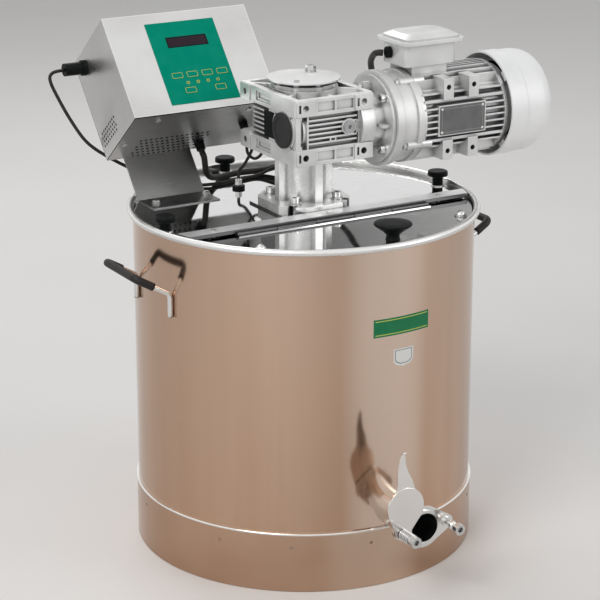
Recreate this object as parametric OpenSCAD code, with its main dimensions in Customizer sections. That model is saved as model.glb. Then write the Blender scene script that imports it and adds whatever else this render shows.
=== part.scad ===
// Honey creamer: a steel drum with a honey gate, a half lid that carries a worm
// geared motor and a control box, and a slow stirrer inside. Millimetres, +Z up.
// The origin is the centre of the base ring, on the table. +X is the motor end,
// -Y is the gate side.

/* [Drum] */
// Outside diameter of the drum wall
drum_d = 470; // [464:1:476]
// Height of the lids' top face above the table
drum_h = 470; // [450:1:500]
// Thickness of the drum sheet
wall_t = 1.5; // [1.2:0.1:2]
// Thickness of the wired rim bead
bead_d = 9.5; // [8:0.5:11]
// Height of the base skirt
skirt_h = 84; // [80:1:88]
// Thickness of the skirt sheet
skirt_t = 2.2; // [1.6:0.1:2.6]
// Height of the drum floor's top face
floor_z = 82; // [78:1:86]

/* [Handles] */
// Distance between the two legs of a handle
handle_w = 100; // [80:1:120]
// How far a handle reaches out from the wall
handle_reach = 47; // [40:1:55]
// How far the grip lies above the bend of the legs
handle_rise = 27; // [20:1:34]
// Height of the legs' lower ends
handle_z = 362; // [340:1:375]
// Length of a handle's welded leg
handle_leg = 32; // [26:1:38]
// Thickness of the handle rod
handle_rod_d = 7; // [6:0.5:8]
// Thickness of the rubber grip
grip_d = 11; // [10:0.5:13]

/* [Honey gate] */
// Bore of the outlet pipe
gate_bore = 40; // [36:1:42]
// Wall thickness of the outlet pipe
pipe_t = 4; // [3:0.5:4.5]
// How far the gate's mouth stands out from the drum wall
gate_reach = 80; // [70:1:90]
// Distance from the outlet's centre to each gate bolt
gate_bolt_x = 36; // [35:0.5:40]
// Diameter of the gate blade
blade_d = 55; // [53:0.5:56]
// Thickness of the gate blade
blade_t = 3; // [2.5:0.1:3.5]
// Angle by which the gate stands open
gate_open = 83; // [60:1:95]
// Length of the blade's lever beyond the disc
lever_len = 47; // [40:1:55]

/* [Lids] */
// Thickness of the fixed rear lid
rear_lid_t = 2; // [1.5:0.1:3]
// Thickness of the hinged front lid
front_lid_t = 1.5; // [1.2:0.1:2]
// Gap between the front lid and the drum wall
lid_gap = 2; // [1.5:0.1:3]
// Depth of the folded edge under the lids
lid_fold = 9; // [6:1:12]
// Distance from the drum axis to the strip's rear edge
strip_y = 57; // [57:1:60]
// Width of the cover strip
strip_w = 23; // [20:1:26]
// Height of the cover strip
strip_h = 8; // [7:0.5:10]
// Diameter of the front lid's mushroom knob
lid_knob_d = 51; // [44:1:58]
// Height of the front lid's mushroom knob
lid_knob_h = 23; // [20:1:28]
// Diameter of a clamp knob's head
clamp_head_d = 29; // [26:1:32]
// Height of a clamp knob
clamp_knob_h = 22; // [20:1:26]

/* [Gearbox] */
// Length of the housing along the worm axis
box_x = 120; // [116:1:124]
// Distance from the output axis to the housing's front face
box_front = 82; // [80:1:86]
// Distance from the output axis to the housing's rear face
box_rear = 68; // [62:1:72]
// Height of the housing
box_h = 90; // [88:1:94]
// Height of the cast output flange
column_h = 77; // [70:1:90]
// Width of the output flange's square foot
foot_w = 112; // [108:1:116]
// Diameter that rounds the foot's corners
foot_d = 126; // [120:1:130]
// Thickness of the foot
foot_t = 12; // [10:0.5:14]
// Diameter of the stirrer shaft
shaft_d = 25; // [22:0.5:25]
// Diameter of the round cover disc on top
disc_d = 100; // [90:1:104]

/* [Motor] */
// Diameter of the motor's end shield
shield_d = 131; // [126:1:134]
// Length of the end shield
shield_len = 42; // [38:1:46]
// Length of the finned frame
frame_len = 137; // [130:1:150]
// Diameter of the fan cowl
cowl_d = 146; // [142:1:150]
// Length of the fan cowl
cowl_len = 74; // [70:1:80]
// Length of the terminal box along the motor
tbox_x = 82; // [76:1:90]
// Width of the terminal box across the motor
tbox_y = 62; // [56:1:70]
// Height of the terminal box's body
tbox_h = 30; // [26:1:34]

/* [Control box] */
// Width of the control box along X
ctrl_w = 222; // [210:1:230]
// Length of the sloping front panel
ctrl_h = 156; // [150:1:162]
// Depth of the control box behind its panel
ctrl_d = 122; // [116:1:128]
// Angle by which the panel leans back
ctrl_lean = 40; // [36:1:44]
// Height of the panel's top edge above the lids
ctrl_top = 250; // [245:1:256]
// Width of the bent stand
stand_w = 104; // [96:1:110]
// Thickness of the control box's sheet
sheet_t = 1.5; // [1.2:0.1:2]

/* [Hidden] */

$fn = 48;
// Shared clearances
fit = 0.05;
free = 0.3;
seat = 0.05;

// Drum
drum_r = drum_d / 2;
in_r = drum_r - wall_t;
lid_z = drum_h;
wall_z = 55;
rim_z = lid_z + 4;
bead_r = bead_d / 2;
skirt_gap = 0.1;
skirt_r = drum_r + skirt_gap + skirt_t;
rod_r = handle_rod_d / 2;
rod_x = sqrt(pow(drum_r + rod_r + fit, 2) - pow(handle_w / 2, 2));

// Gate
gate_r = gate_bore / 2;
pipe_r = gate_r + pipe_t;
gate_z = skirt_h + pipe_r + 1;
gate_y = -(drum_r + gate_reach);
gate_plate_t = 5;
gate_lip = 3;
gate_plate_r = pipe_r + 5;
gate_ear_r = 10;
gate_rod_r = 3;
gate_head_r = 7.6;
gate_head_h = 8;
pivot_out = 36;
clamp_out = 30;
spring_wire = 2;
spring_turns = 6.5;
spring_r = 7;
blade_step = 1.2;
// Angle of the closed blade, and its lever's gap to the clamp bolt it then rests against
gate_shut = 8;
stop_gap = 0.4;
nut_r = 6;
nut_h = 12;

// Lids
strip_front = strip_y + strip_w;
hinge_y = strip_front + 3;
hinge_r = 2.5;
hinge_z = lid_z + hinge_r;
leaf_t = 1.2;
pin_r = 1;
hinge_len = 300;
hinge_parts = 5;
hinge_part = hinge_len / hinge_parts;
hinge_gap = 1;
front_y = hinge_y + 2.5;
rear_lid_r = in_r - 0.7;
front_lid_r = in_r - lid_gap;
fold_y = 115;
rivet_x = 177;
rivet_r = 2.5;
knob_x = 20;
knob_y = -197;
dome_r = 218;
dome_a = [-43, -135];
buffer_r = 8;
buffer_h = 8;
clamp_in = 14;
clamp_r = drum_r - clamp_in;
clamp_a = [0, 91, 184];
stud_r = 4;
lug_top = lid_z - rear_lid_t - seat;
shaft_r = shaft_d / 2;
bridge_x = 195;
bridge_y = 50;
bridge_h = 18;

// Gearbox, worm to wheel distance fixed by the tooth numbers
centre_a = 50;
doubler_t = 3;
foot_z = lid_z + doubler_t;
box_z = foot_z + column_h;
axis_z = box_z + box_h / 2;
box_top = box_z + box_h;
barrel_r = 31;
post_w = 12;
post_r = 42;
flange_bolt_r = 47;
rail_h = 23;
rail_proud = 5;
box_half = box_x / 2;
fin_t = 2.4;
fin_n = 6;
lug_w = 30;
case_r = 51;
pocket = 11;
case_fin = 8;
lug_hole = 4.5;
hollow_r = 17.5;
bearing_r = 31;
worm_bearing_r = 20;
bearing_w = 12;
cap_r = 24;
module_m = 2;
wheel_n = 40;
wheel_r = module_m * wheel_n / 2;
worm_pitch_r = centre_a - wheel_r;
worm_lead = PI * module_m;
worm_tip_r = worm_pitch_r + module_m;
worm_root_r = worm_pitch_r - 1.2 * module_m;
worm_turns = 8;
worm_len = worm_turns * worm_lead;
thread_w = 2.2;
backlash = 0.45;
lead_a = atan(worm_lead / (2 * PI * worm_pitch_r));
wheel_w = 20;
pressure_a = 20;
journal_r = 10;
cover_r = 45;
cover_t = 7;
disc_t = 2;
disc_z = box_top + cover_t + 3;
disc_screw_r = 37;

// Stirrer
arm_n = 3;
arm_r = 205;
arm_w = 40;
arm_t = 4;
arm_tilt = 35;
arm_z0 = floor_z + 46;
arm_step = 80;
hub_r = 19;
pivot_r = 8;

// Motor, axial positions along the worm axis
neck_r = 37.5;
neck_x0 = box_half;
disc_x0 = neck_x0 + 15;
disc_x1 = disc_x0 + 5;
input_r = 60;
shield_x1 = disc_x1 + shield_len;
frame_x1 = shield_x1 + frame_len;
cowl_x0 = frame_x1 + 1;
cowl_x1 = cowl_x0 + cowl_len;
core_r = 54;
fin_r = 64;
motor_ear_x0 = 162;
motor_ear_x1 = 203;
cowl_r = cowl_d / 2;
shaft_m = 7;
tbox_x0 = shield_x1 - 10;
tbox_z = axis_z + fin_r + 7;
tlid_z = tbox_z + tbox_h;

// Control box
lean = ctrl_lean;
down = [0, -sin(lean), -cos(lean)];
deep = [0, cos(lean), -sin(lean)];
ctrl_x0 = -212;
panel_y = 186;
panel_top = [ctrl_x0, panel_y, lid_z + ctrl_top];
low_front = panel_top + down * ctrl_h;
low_back = low_front + deep * ctrl_d;
stand_run = (low_back[2] - lid_z - sheet_t) / cos(lean);
stand_x0 = 25;
foot_len = 50;
foot_y = low_back[1] - stand_run * sin(lean);
// Screws of the stand's foot, and the lid's grommets for the probe and the sensor lead
foot_screws = [[ctrl_x0 + stand_x0 + 17, foot_y - 23.7434], [ctrl_x0 + stand_x0 + 97, foot_y - 20.7434]];
probe_at = [-31, 130];
lead_at = [60, 150];
foil_u = 60;
foil_w = 16;
foil_x = 106;
foil_y = 127;
window_u = 84;
window_w = 40;
window_x = 62;
window_y = 16;
key_x = 17;
key_y = 9;
gland_u = 189;
gland_v = 58;
socket_w = 23;
socket_t = 94;

// Cable routes, hand-chosen points between the ends that hold them
gland_len = 11;
plug_len = 32;
grommet_h = 4.05;
probe_top = 14;
cable_gap = 0.15;
power_u = 137;
power_v = 104;
gland_tip = ctrl_h + seat + gland_len + cable_gap;
function on_panel(u, w, t) = panel_top + [u, 0, 0] + w * down + t * deep;
lead_pts = [on_panel(-seat - plug_len - cable_gap, socket_w, socket_t),
    [-262, 242, 640], [-267, 240, 630], [-258, 235, 605], [-242, 225, 570],
    [-224, 215, 541], [-195, 205, 518], [-154, 200, 494], [-118, 190, 478], [-91, 170, 473.1],
    [-58, 156, 473.1], [-20, 162, 473.1], [20, 168, 473.1], [46, 164, 482], [58, 153, 486],
    [each lead_at, 481], [each lead_at, lid_z + grommet_h + cable_gap]];
power_pts = concat([for (d = [0, 6, 13]) on_panel(power_u, gland_tip + d, power_v)],
    [[-66, 158, 488], [-40, 176, 476], [0, 186, 475.3], [45, 180, 476.5], [80, 160, 492],
    [105, 125, 515], [125, 85, 550], [133, 50, 590], [124, 24, 632], [108, 2, 660],
    [98, -22, 676], [96, -36, 681], [101, -40, 681]]);
probe_pts = concat([for (d = [0, 5, 10]) on_panel(gland_u, gland_tip + d, gland_v)],
    [[-22, 120, 524], [-10, 122, 512], [4, 126, 516], [10, 133, 530], [3, 139, 532],
    [-8, 138, 514], [-20, 134, 501], [-29, 130, 496], [each probe_at, 491], [each probe_at, 487.5],
    [each probe_at, lid_z + probe_top + cable_gap]]);

module at_motor(x) translate([x, -centre_a, axis_z]) rotate([0, 90, 0]) children();
module at_panel() multmatrix([
    [1, 0, 0, panel_top[0]],
    [0, down[1], deep[1], panel_top[1]],
    [0, down[2], deep[2], panel_top[2]]]) children();
module around(list) for (a = list) rotate(a) children();

function unit(v) = v / norm(v);
function beside(u) = unit(cross(u, abs(u[2]) > 0.9 ? [1, 0, 0] : [0, 0, 1]));
// Corner points replaced by short arcs, for a rod with true bends
function bent(p, bend, k) = [for (i = [0 : len(p) - 1])
    each (i == 0 || i == len(p) - 1 ? [p[i]] : arc_at(p[i - 1], p[i], p[i + 1], bend, k))];
function arc_at(a, b, c, bend, k) =
    let (u = unit(b - a), v = unit(c - b), turn = acos(u * v), n = unit(v - u * (u * v)),
        o = b - u * bend * tan(turn / 2) + n * bend)
    [for (j = [0 : k]) o + bend * (u * sin(turn * j / k) - n * cos(turn * j / k))];
function carry(n, t) = unit(n - t * (n * t));
function normals(t, i, n) = i == len(t) ? [] : let (m = carry(n, t[i])) concat([m], normals(t, i + 1, m));
function tangents(p) = [for (i = [0 : len(p) - 1])
    unit(p[min(i + 1, len(p) - 1)] - p[max(i - 1, 0)])];
// A tube swept along the points as one skin
module tube(p, r, sides) {
    t = tangents(p);
    n = normals(t, 0, beside(t[0]));
    skin = [for (i = [0 : len(p) - 1]) for (k = [0 : sides - 1])
        p[i] + r * (cos(k * 360 / sides) * n[i] + sin(k * 360 / sides) * cross(t[i], n[i]))];
    walls = [for (i = [0 : len(p) - 2]) for (k = [0 : sides - 1])
        let (a = i * sides + k, b = i * sides + (k + 1) % sides)
            each [[a, a + sides, b], [b, a + sides, b + sides]]];
    first = [for (k = [0 : sides - 1]) k];
    last = [for (k = [sides - 1 : -1 : 0]) (len(p) - 1) * sides + k];
    polyhedron(points = skin, faces = concat(walls, [first, last]));
}
function blend(a, b, c, d, t) = 0.5 * (2 * b + (c - a) * t + (2 * a - 5 * b + 4 * c - d) * t * t
    + (3 * b - a - 3 * c + d) * t * t * t);
// Smooth points through the hand-chosen ones
function smooth(p, k) = concat([for (i = [0 : len(p) - 2]) for (j = [0 : k - 1])
    blend(p[max(i - 1, 0)], p[i], p[i + 1], p[min(i + 2, len(p) - 1)], j / k)], [p[len(p) - 1]]);

// Rectangle with round corners, centred
module round_rect(x, y, r) {
    square([x - 2 * r, y], center = true);
    square([x, y - 2 * r], center = true);
    for (i = [-1, 1]) for (j = [-1, 1]) translate([i * (x / 2 - r), j * (y / 2 - r)]) circle(r = r);
}
module round_box(x, y, h, r) linear_extrude(h) round_rect(x, y, r);
module ring(r, hole, h) difference() {
    cylinder(r = r, h = h);
    translate([0, 0, -1]) cylinder(r = hole, h = h + 2);
}
// Two circles and the straight tangents between them
module tear(r0, r1, d) {
    a = acos((r0 - r1) / d);
    circle(r = r0);
    translate([d, 0]) circle(r = r1);
    q0 = r0 - 0.2;
    q1 = r1 - 0.2;
    polygon([[q0 * cos(a), q0 * sin(a)], [q0 * cos(a), -q0 * sin(a)],
        [d + q1 * cos(a), -q1 * sin(a)], [d + q1 * cos(a), q1 * sin(a)]]);
}
// Hex-socket cap screw, head up from z 0, shank down
module cap_screw(r, h, shank_r, shank) {
    difference() {
        cylinder(r = r, h = h);
        translate([0, 0, h / 2]) cylinder(r = r * 0.55, h = h, $fn = 6);
    }
    translate([0, 0, -shank]) cylinder(r = shank_r, h = shank + 0.5);
}

// Drum
module drum_wall() color("silver") difference() {
    union() {
        translate([0, 0, wall_z]) ring(drum_r, in_r, rim_z - wall_z);
        translate([0, 0, rim_z]) rotate_extrude() translate([in_r + bead_r, 0]) circle(r = bead_r);
    }
    translate([0, 0, gate_z]) rotate([90, 0, 0]) cylinder(r = pipe_r + fit, h = drum_r + 50);
}
module drum_floor() color("silver") difference() {
    translate([0, 0, floor_z - 20]) cylinder(r = in_r - fit, h = 20);
    translate([0, 0, floor_z - 21]) cylinder(r = in_r - 2, h = 19);
}
module base_skirt() color("silver") {
    ring(skirt_r, drum_r + skirt_gap, skirt_h);
    ring(skirt_r, skirt_r - 9, 2);
    translate([0, 0, skirt_h - 1.6]) rotate_extrude() translate([skirt_r - 0.2, 0]) circle(r = 1.6);
}
function handle_pts(s) = let (z1 = handle_z + handle_leg, y1 = handle_w / 2, x1 = rod_x + handle_reach)
    [[s * rod_x, -y1, handle_z], [s * rod_x, -y1, z1], [s * x1, 4 - y1, z1 + handle_rise],
    [s * x1, y1 - 4, z1 + handle_rise], [s * rod_x, y1, z1], [s * rod_x, y1, handle_z]];
module handle_rods() color("silver") for (s = [-1, 1]) tube(bent(handle_pts(s), 9, 5), rod_r, 16);
module handle_grips() color("dimgray") for (s = [-1, 1]) {
    p = handle_pts(s);
    a = (p[1] + p[2]) / 2;
    d = (p[3] + p[4]) / 2;
    difference() {
        tube(bent([a, p[2], p[3], d], 9, 5), grip_d / 2, 16);
        tube(bent([a * 2 - p[2], p[2], p[3], d * 2 - p[3]], 9, 5), rod_r + fit, 16);
    }
}

// Gate
module at_gate(x) translate([x, gate_y, gate_z]) rotate([90, 0, 0]) children();
module gate_pipe() color("silver") difference() {
    union() {
        translate([0, -in_r + 12, gate_z]) rotate([90, 0, 0]) cylinder(r = pipe_r, h = -gate_y - in_r + 12);
        at_gate(0) translate([0, 0, -gate_lip - gate_plate_t]) linear_extrude(gate_plate_t) {
            tear(gate_plate_r, gate_ear_r, gate_bolt_x);
            rotate(180) tear(gate_plate_r, gate_ear_r, gate_bolt_x);
        }
        for (s = [-1, 1]) at_gate(s * gate_bolt_x) translate([0, 0, -gate_lip - 1])
            cylinder(r = 7, h = gate_lip + 1);
    }
    translate([0, 0, gate_z - 40]) cylinder(r = in_r, h = 80);
    translate([0, -100, gate_z]) rotate([90, 0, 0]) cylinder(r = gate_r, h = 300);
    for (s = [-1, 1]) at_gate(s * gate_bolt_x) translate([0, 0, -20])
        cylinder(r = gate_rod_r + fit, h = 40);
}
// Lever outline beyond the disc, with a shallow S and the hollow that meets the clamp bolt
module lever2d() difference() {
    x0 = gate_bolt_x + blade_d / 2;
    polygon([[x0 - 12, -19], [x0 - 3, -12], [x0 + 3, -9], [x0 + 10, -6], [x0 + 16, -1.5], [x0 + 22, 2.5],
        [x0 + 29, 6.2], [x0 + 37, 9], [x0 + lever_len - 3, 10], [x0 + lever_len, 11.5],
            [x0 + lever_len, 14.5],
        [x0 + lever_len - 3, 16], [x0 + 37, 17.8], [x0 + 29, 18.8], [x0 + 20, 18.6], [x0 + 10, 17.2],
        [x0 + 3, 16.2], [x0 - 3, 16.8], [x0 - 9, 20]]);
    rotate(-gate_shut) translate([2 * gate_bolt_x, 0]) circle(r = gate_rod_r + stop_gap);
}
module gate_blade() color("lightsteelblue") at_gate(-gate_bolt_x) rotate(gate_open) {
    difference() {
        translate([0, 0, seat]) {
            linear_extrude(blade_t) translate([gate_bolt_x, 0]) rotate(180)
                tear(blade_d / 2, 9, gate_bolt_x);
            linear_extrude(blade_t - blade_step) lever2d();
        }
        translate([0, 0, -1]) cylinder(r = gate_rod_r + fit, h = blade_t + 3);
    }
    translate([gate_bolt_x + blade_d / 2 + lever_len - 1.5, 13, seat + 4.5]) rotate([90, 90, 0])
        translate([0, 0, -2.5]) rotate_extrude(angle = 75) translate([2.7, 0])
            square([blade_t - blade_step, 5]);
}
module gate_bolts() color("gainsboro") {
    at_gate(-gate_bolt_x) {
        translate([0, 0, pivot_out - gate_head_h])
            cap_screw(gate_head_r, gate_head_h, gate_rod_r,
                pivot_out - gate_head_h + gate_lip + gate_plate_t + 4.5);
    }
    at_gate(gate_bolt_x) {
        translate([0, 0, clamp_out - gate_head_h])
            cap_screw(gate_head_r, gate_head_h, gate_rod_r,
                clamp_out - gate_head_h + gate_lip + gate_plate_t + 4.5);
    }
    for (s = [-1, 1]) at_gate(s * gate_bolt_x) translate([0, 0, -gate_lip - gate_plate_t - 4.5 - seat])
        cylinder(r = 5.8, h = 4.5, $fn = 6);
}
module gate_spring() color("gray") at_gate(-gate_bolt_x) {
    z0 = blade_t + 0.2 + spring_wire / 2;
    z1 = pivot_out - gate_head_h - 0.1 - spring_wire / 2;
    n = spring_turns * 8;
    r = spring_r;
    echo(spring_gap = (z1 - z0) / spring_turns - spring_wire);
    tube([for (i = [0 : n]) [r * cos(i * 45), r * sin(i * 45), z0 + (z1 - z0) * i / n]],
        spring_wire / 2, 6);
}
module gate_ball_nut() color("gainsboro") at_gate(gate_bolt_x) translate([0, 0, 5]) difference() {
    rotate_extrude() difference() {
        translate([0, nut_r]) circle(r = nut_r);
        translate([-20, -1]) square([20, 30]);
    }
    translate([0, 0, -1]) cylinder(r = gate_rod_r + fit, h = nut_h + 3);
}

// Lugs and bridge under the lids
module wall_lugs() color("silver") {
    around(clamp_a) difference() {
        union() {
            translate([in_r - 28, -15, lug_top - 4]) cube([27, 30, 4]);
            translate([clamp_r, 0, lug_top - 14]) cylinder(r = 8, h = 14);
            translate([in_r - 20, -2, lug_top - 26]) cube([19, 4, 24]);
        }
        translate([clamp_r, 0, lug_top - 30]) cylinder(r = stud_r + fit, h = 40);
    }
    around(dome_a) {
        lug_z = lid_z - front_lid_t - buffer_h - seat;
        translate([in_r - 28, -12, lug_z - 4]) cube([27, 24, 4]);
        translate([in_r - 20, -2, lug_z - 22]) cube([19, 4, 20]);
    }
}
module lid_bridge() color("silver") difference() {
    translate([-bridge_x, -bridge_y, lug_top - bridge_h]) cube([2 * bridge_x, 2 * bridge_y, bridge_h]);
    translate([-bridge_x - 1, -bridge_y + 2, lug_top - bridge_h - 1])
        cube([2 * bridge_x + 2, 2 * bridge_y - 4, bridge_h - 1]);
    translate([0, 0, lug_top - 30]) cylinder(r = 20, h = 40);
    around([45, 135, 225, 315]) translate([flange_bolt_r, 0, lug_top - 30]) cylinder(r = 4 + fit, h = 40);
}
module rear_lid() color("silver") difference() {
    union() {
        intersection() {
            translate([0, 0, lid_z - rear_lid_t]) cylinder(r = rear_lid_r, h = rear_lid_t);
            translate([-300, -strip_front, lid_z - 20]) cube([600, 600, 40]);
        }
        translate([0, 0, lid_z - 0.5]) round_box(foot_w, foot_w, doubler_t + 0.5 - seat, 4);
    }
    translate([0, 0, lid_z - 20]) cylinder(r = 20, h = 40);
    around([45, 135, 225, 315]) translate([flange_bolt_r, 0, lid_z - 20]) cylinder(r = 4 + fit, h = 40);
    around(clamp_a) translate([clamp_r, 0, lid_z - 20]) cylinder(r = stud_r + free, h = 40);
    for (x = [-rivet_x, 0, rivet_x]) translate([x, -strip_y - strip_w / 2, lid_z - 20])
        cylinder(r = rivet_r + fit, h = 40);
    translate([each probe_at, lid_z - 20]) cylinder(r = 6.5, h = 40);
    translate([each lead_at, lid_z - 20]) cylinder(r = 6.5, h = 40);
    for (p = foot_screws) translate([p[0], p[1], lid_z - 20]) cylinder(r = 3 + fit, h = 40);
}
module cover_strip() color("gainsboro") difference() {
    intersection() {
        translate([-300, -strip_front, lid_z + seat]) cube([600, strip_w, strip_h - seat]);
        cylinder(r = in_r - 1.5, h = 600);
    }
    translate([-301, -strip_front + 1.5, lid_z - 1]) cube([602, strip_w - 3, strip_h + 1 - 1.5]);
    translate([-301, -strip_front - 1, lid_z - 1]) cube([602, 5, 4]);
    for (x = [-rivet_x, 0, rivet_x]) translate([x, -strip_y - strip_w / 2, lid_z - 20])
        cylinder(r = rivet_r + fit, h = 60);
}
module strip_rivets() color("gainsboro") for (x = [-rivet_x, 0, rivet_x])
    translate([x, -strip_y - strip_w / 2, 0]) {
        translate([0, 0, lid_z - rear_lid_t - 1.5]) cylinder(r = rivet_r, h = strip_h + rear_lid_t + 2);
        translate([0, 0, lid_z + strip_h + seat]) cylinder(r = 4, h = 1.2);
        translate([0, 0, lid_z - rear_lid_t - 1.5 - seat]) cylinder(r = 4, h = 1.5);
    }
module knuckles(first) for (i = [first : 2 : hinge_parts - 1])
    translate([-hinge_len / 2 + i * hinge_part + hinge_gap / 2, -hinge_y, hinge_z]) rotate([0, 90, 0])
        cylinder(r = hinge_r, h = hinge_part - hinge_gap);
module knuckle_bore() translate([-hinge_len, -hinge_y, hinge_z]) rotate([0, 90, 0])
    cylinder(r = pin_r + fit, h = 2 * hinge_len);
module hinge_leaf() color("silver") difference() {
    union() {
        knuckles(0);
        for (i = [0 : 2 : hinge_parts - 1])
            translate([-hinge_len / 2 + i * hinge_part + hinge_gap / 2, -hinge_y, lid_z + seat])
                cube([hinge_part - hinge_gap, 20, leaf_t]);
        translate([-hinge_len / 2, -hinge_y + 4, lid_z + seat]) cube([hinge_len, 16, leaf_t]);
    }
    knuckle_bore();
    translate([0, -strip_y - strip_w / 2, lid_z - 20]) cylinder(r = rivet_r + fit, h = 60);
}
module hinge_pin() color("gray") translate([-hinge_len / 2 + 1, -hinge_y, hinge_z]) rotate([0, 90, 0])
    cylinder(r = pin_r, h = hinge_len - 2);
module front_lid() color("silver") difference() {
    union() {
        intersection() {
            translate([0, 0, lid_z - front_lid_t]) cylinder(r = front_lid_r, h = front_lid_t);
            translate([-300, -600 - front_y, 0]) cube([600, 600, 1000]);
        }
        intersection() {
            translate([0, 0, lid_z - lid_fold]) ring(front_lid_r, front_lid_r - 1.2, lid_fold - 0.5);
            translate([-300, -600 - fold_y, 0]) cube([600, 600, 1000]);
        }
        knuckles(1);
        for (i = [1 : 2 : hinge_parts - 1])
            translate([-hinge_len / 2 + i * hinge_part + hinge_gap / 2, -hinge_y - 4.5, lid_z - 0.5])
                cube([hinge_part - hinge_gap, 4.5, leaf_t + 0.5]);
        translate([-hinge_len / 2, -hinge_y - 7, lid_z - 0.5]) cube([hinge_len, 4.2, leaf_t + 0.5]);
    }
    knuckle_bore();
    around(dome_a) translate([dome_r, 0, lid_z - 20]) cylinder(r = 2.5 + fit, h = 40);
    translate([knob_x, knob_y, lid_z - 20]) cylinder(r = 3 + fit, h = 40);
}
module lid_knob() color("dimgray") translate([knob_x, knob_y, lid_z + seat]) difference() {
    r = lid_knob_d / 2;
    h = lid_knob_h;
    rotate_extrude() {
        polygon([[0, 0], [10, 0], [9, 3], [9, h * 0.3], [14, h * 0.5], [r - 1, h - 4], [r, h - 3],
            [r, h - 2], [r - 1, h - 0.8], [r * 0.6, h], [0, h]]);
    }
    translate([0, 0, -1]) cylinder(r = 3 + fit, h = 15);
}
module lid_screws() color("gainsboro") {
    around(dome_a) translate([dome_r, 0, lid_z + seat]) {
        difference() {
            union() {
                cylinder(r = 8, h = 3, $fn = 6);
                cylinder(r = 8.5, h = 1);
                translate([0, 0, 1]) intersection() {
                    sphere(r = 7);
                    cylinder(r = 8, h = 10);
                }
            }
            translate([0, 0, -10]) cylinder(r = 1, h = 10);
        }
        translate([0, 0, -front_lid_t - 5]) cylinder(r = 2.5, h = front_lid_t + 6);
    }
    translate([knob_x, knob_y, lid_z - front_lid_t - 3 - seat]) {
        cylinder(r = 6, h = 3);
        cylinder(r = 3, h = 3 + front_lid_t + 12);
    }
}
module lid_buffers() color("dimgray") around(dome_a)
    translate([dome_r, 0, lid_z - front_lid_t - buffer_h]) difference() {
        cylinder(r = buffer_r, h = buffer_h - seat);
        translate([0, 0, 2]) cylinder(r = 2.5 + fit, h = buffer_h);
    }

// Clamp knobs with their studs
module knob_head(a) color("dimgray") rotate(a) translate([clamp_r, 0, lid_z + 1.5 + 2 * seat])
    difference() {
    r = clamp_head_d / 2;
    h = clamp_knob_h - 1.5;
    rotate_extrude() polygon([[0, 0], [7.5, 0], [7.5, h - 9], [r - 1.5, h - 8], [r, h - 7],
        [r, h - 2.5], [r - 0.8, h - 0.8], [r - 2.8, h], [0, h]]);
    translate([0, 0, -1]) cylinder(r = stud_r + fit, h = 13);
}
module stud(a) color("gainsboro") rotate(a) translate([clamp_r, 0, lug_top - 16])
    cylinder(r = stud_r, h = 16 + seat + rear_lid_t + 13);
module clamp_knob_right() knob_head(clamp_a[0]);
module clamp_knob_rear() knob_head(clamp_a[1]);
module clamp_knob_left() knob_head(clamp_a[2]);
module clamp_stud_right() stud(clamp_a[0]);
module clamp_stud_rear() stud(clamp_a[1]);
module clamp_stud_left() stud(clamp_a[2]);
module knob_washers() color("gainsboro") around(clamp_a)
    translate([clamp_r, 0, lid_z + seat]) ring(9.5, stud_r + free, 1.5);

// Column and gearbox
module output_flange() color("lightgray") difference() {
    union() {
        intersection() {
            translate([-foot_w / 2, -foot_w / 2, foot_z]) cube([foot_w, foot_w, foot_t]);
            translate([0, 0, foot_z]) cylinder(r = foot_d / 2, h = foot_t);
        }
        translate([0, 0, foot_z]) cylinder(r = barrel_r, h = column_h - seat);
        for (a = [0, 90]) rotate(a)
            translate([-post_r, -post_w / 2, foot_z]) cube([2 * post_r, post_w, column_h - seat]);
        translate([0, 0, box_z - 6 - seat]) cylinder(r = 46, h = 6);
    }
    translate([0, 0, foot_z - 1]) cylinder(r = 20, h = column_h + 2);
    around([45, 135, 225, 315]) translate([flange_bolt_r, -5.5, foot_z - 1]) cube([40, 11, foot_t + 2]);
    around([45, 135, 225, 315]) translate([flange_bolt_r, 0, foot_z - 1]) cylinder(r = 5.5, h = foot_t + 2);
}
module cap_screws() color("dimgray") {
    around([45, 135, 225, 315]) translate([flange_bolt_r, 0, foot_z + foot_t + seat]) {
        ring(9, 4.2, 1.5);
        translate([0, 0, 1.5]) cap_screw(6.5, 8, 4, foot_t + doubler_t + rear_lid_t + 12);
        translate([0, 0, lug_top - 2 - seat - foot_z - foot_t - 6.5 - seat])
            cylinder(r = 7, h = 6.5, $fn = 6);
    }
    around([0, 90, 180, 270]) translate([38, 0, box_top + cover_t - 2 + 2 * seat]) cap_screw(4, 4, 2.5, 16);
    for (a = [45, 135, 225, 315]) at_motor(disc_x0 - seat) rotate(a) translate([50, 0, 0])
        rotate([180, 0, 0])
        cap_screw(6, 7, 3.5, 14);
}
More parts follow.
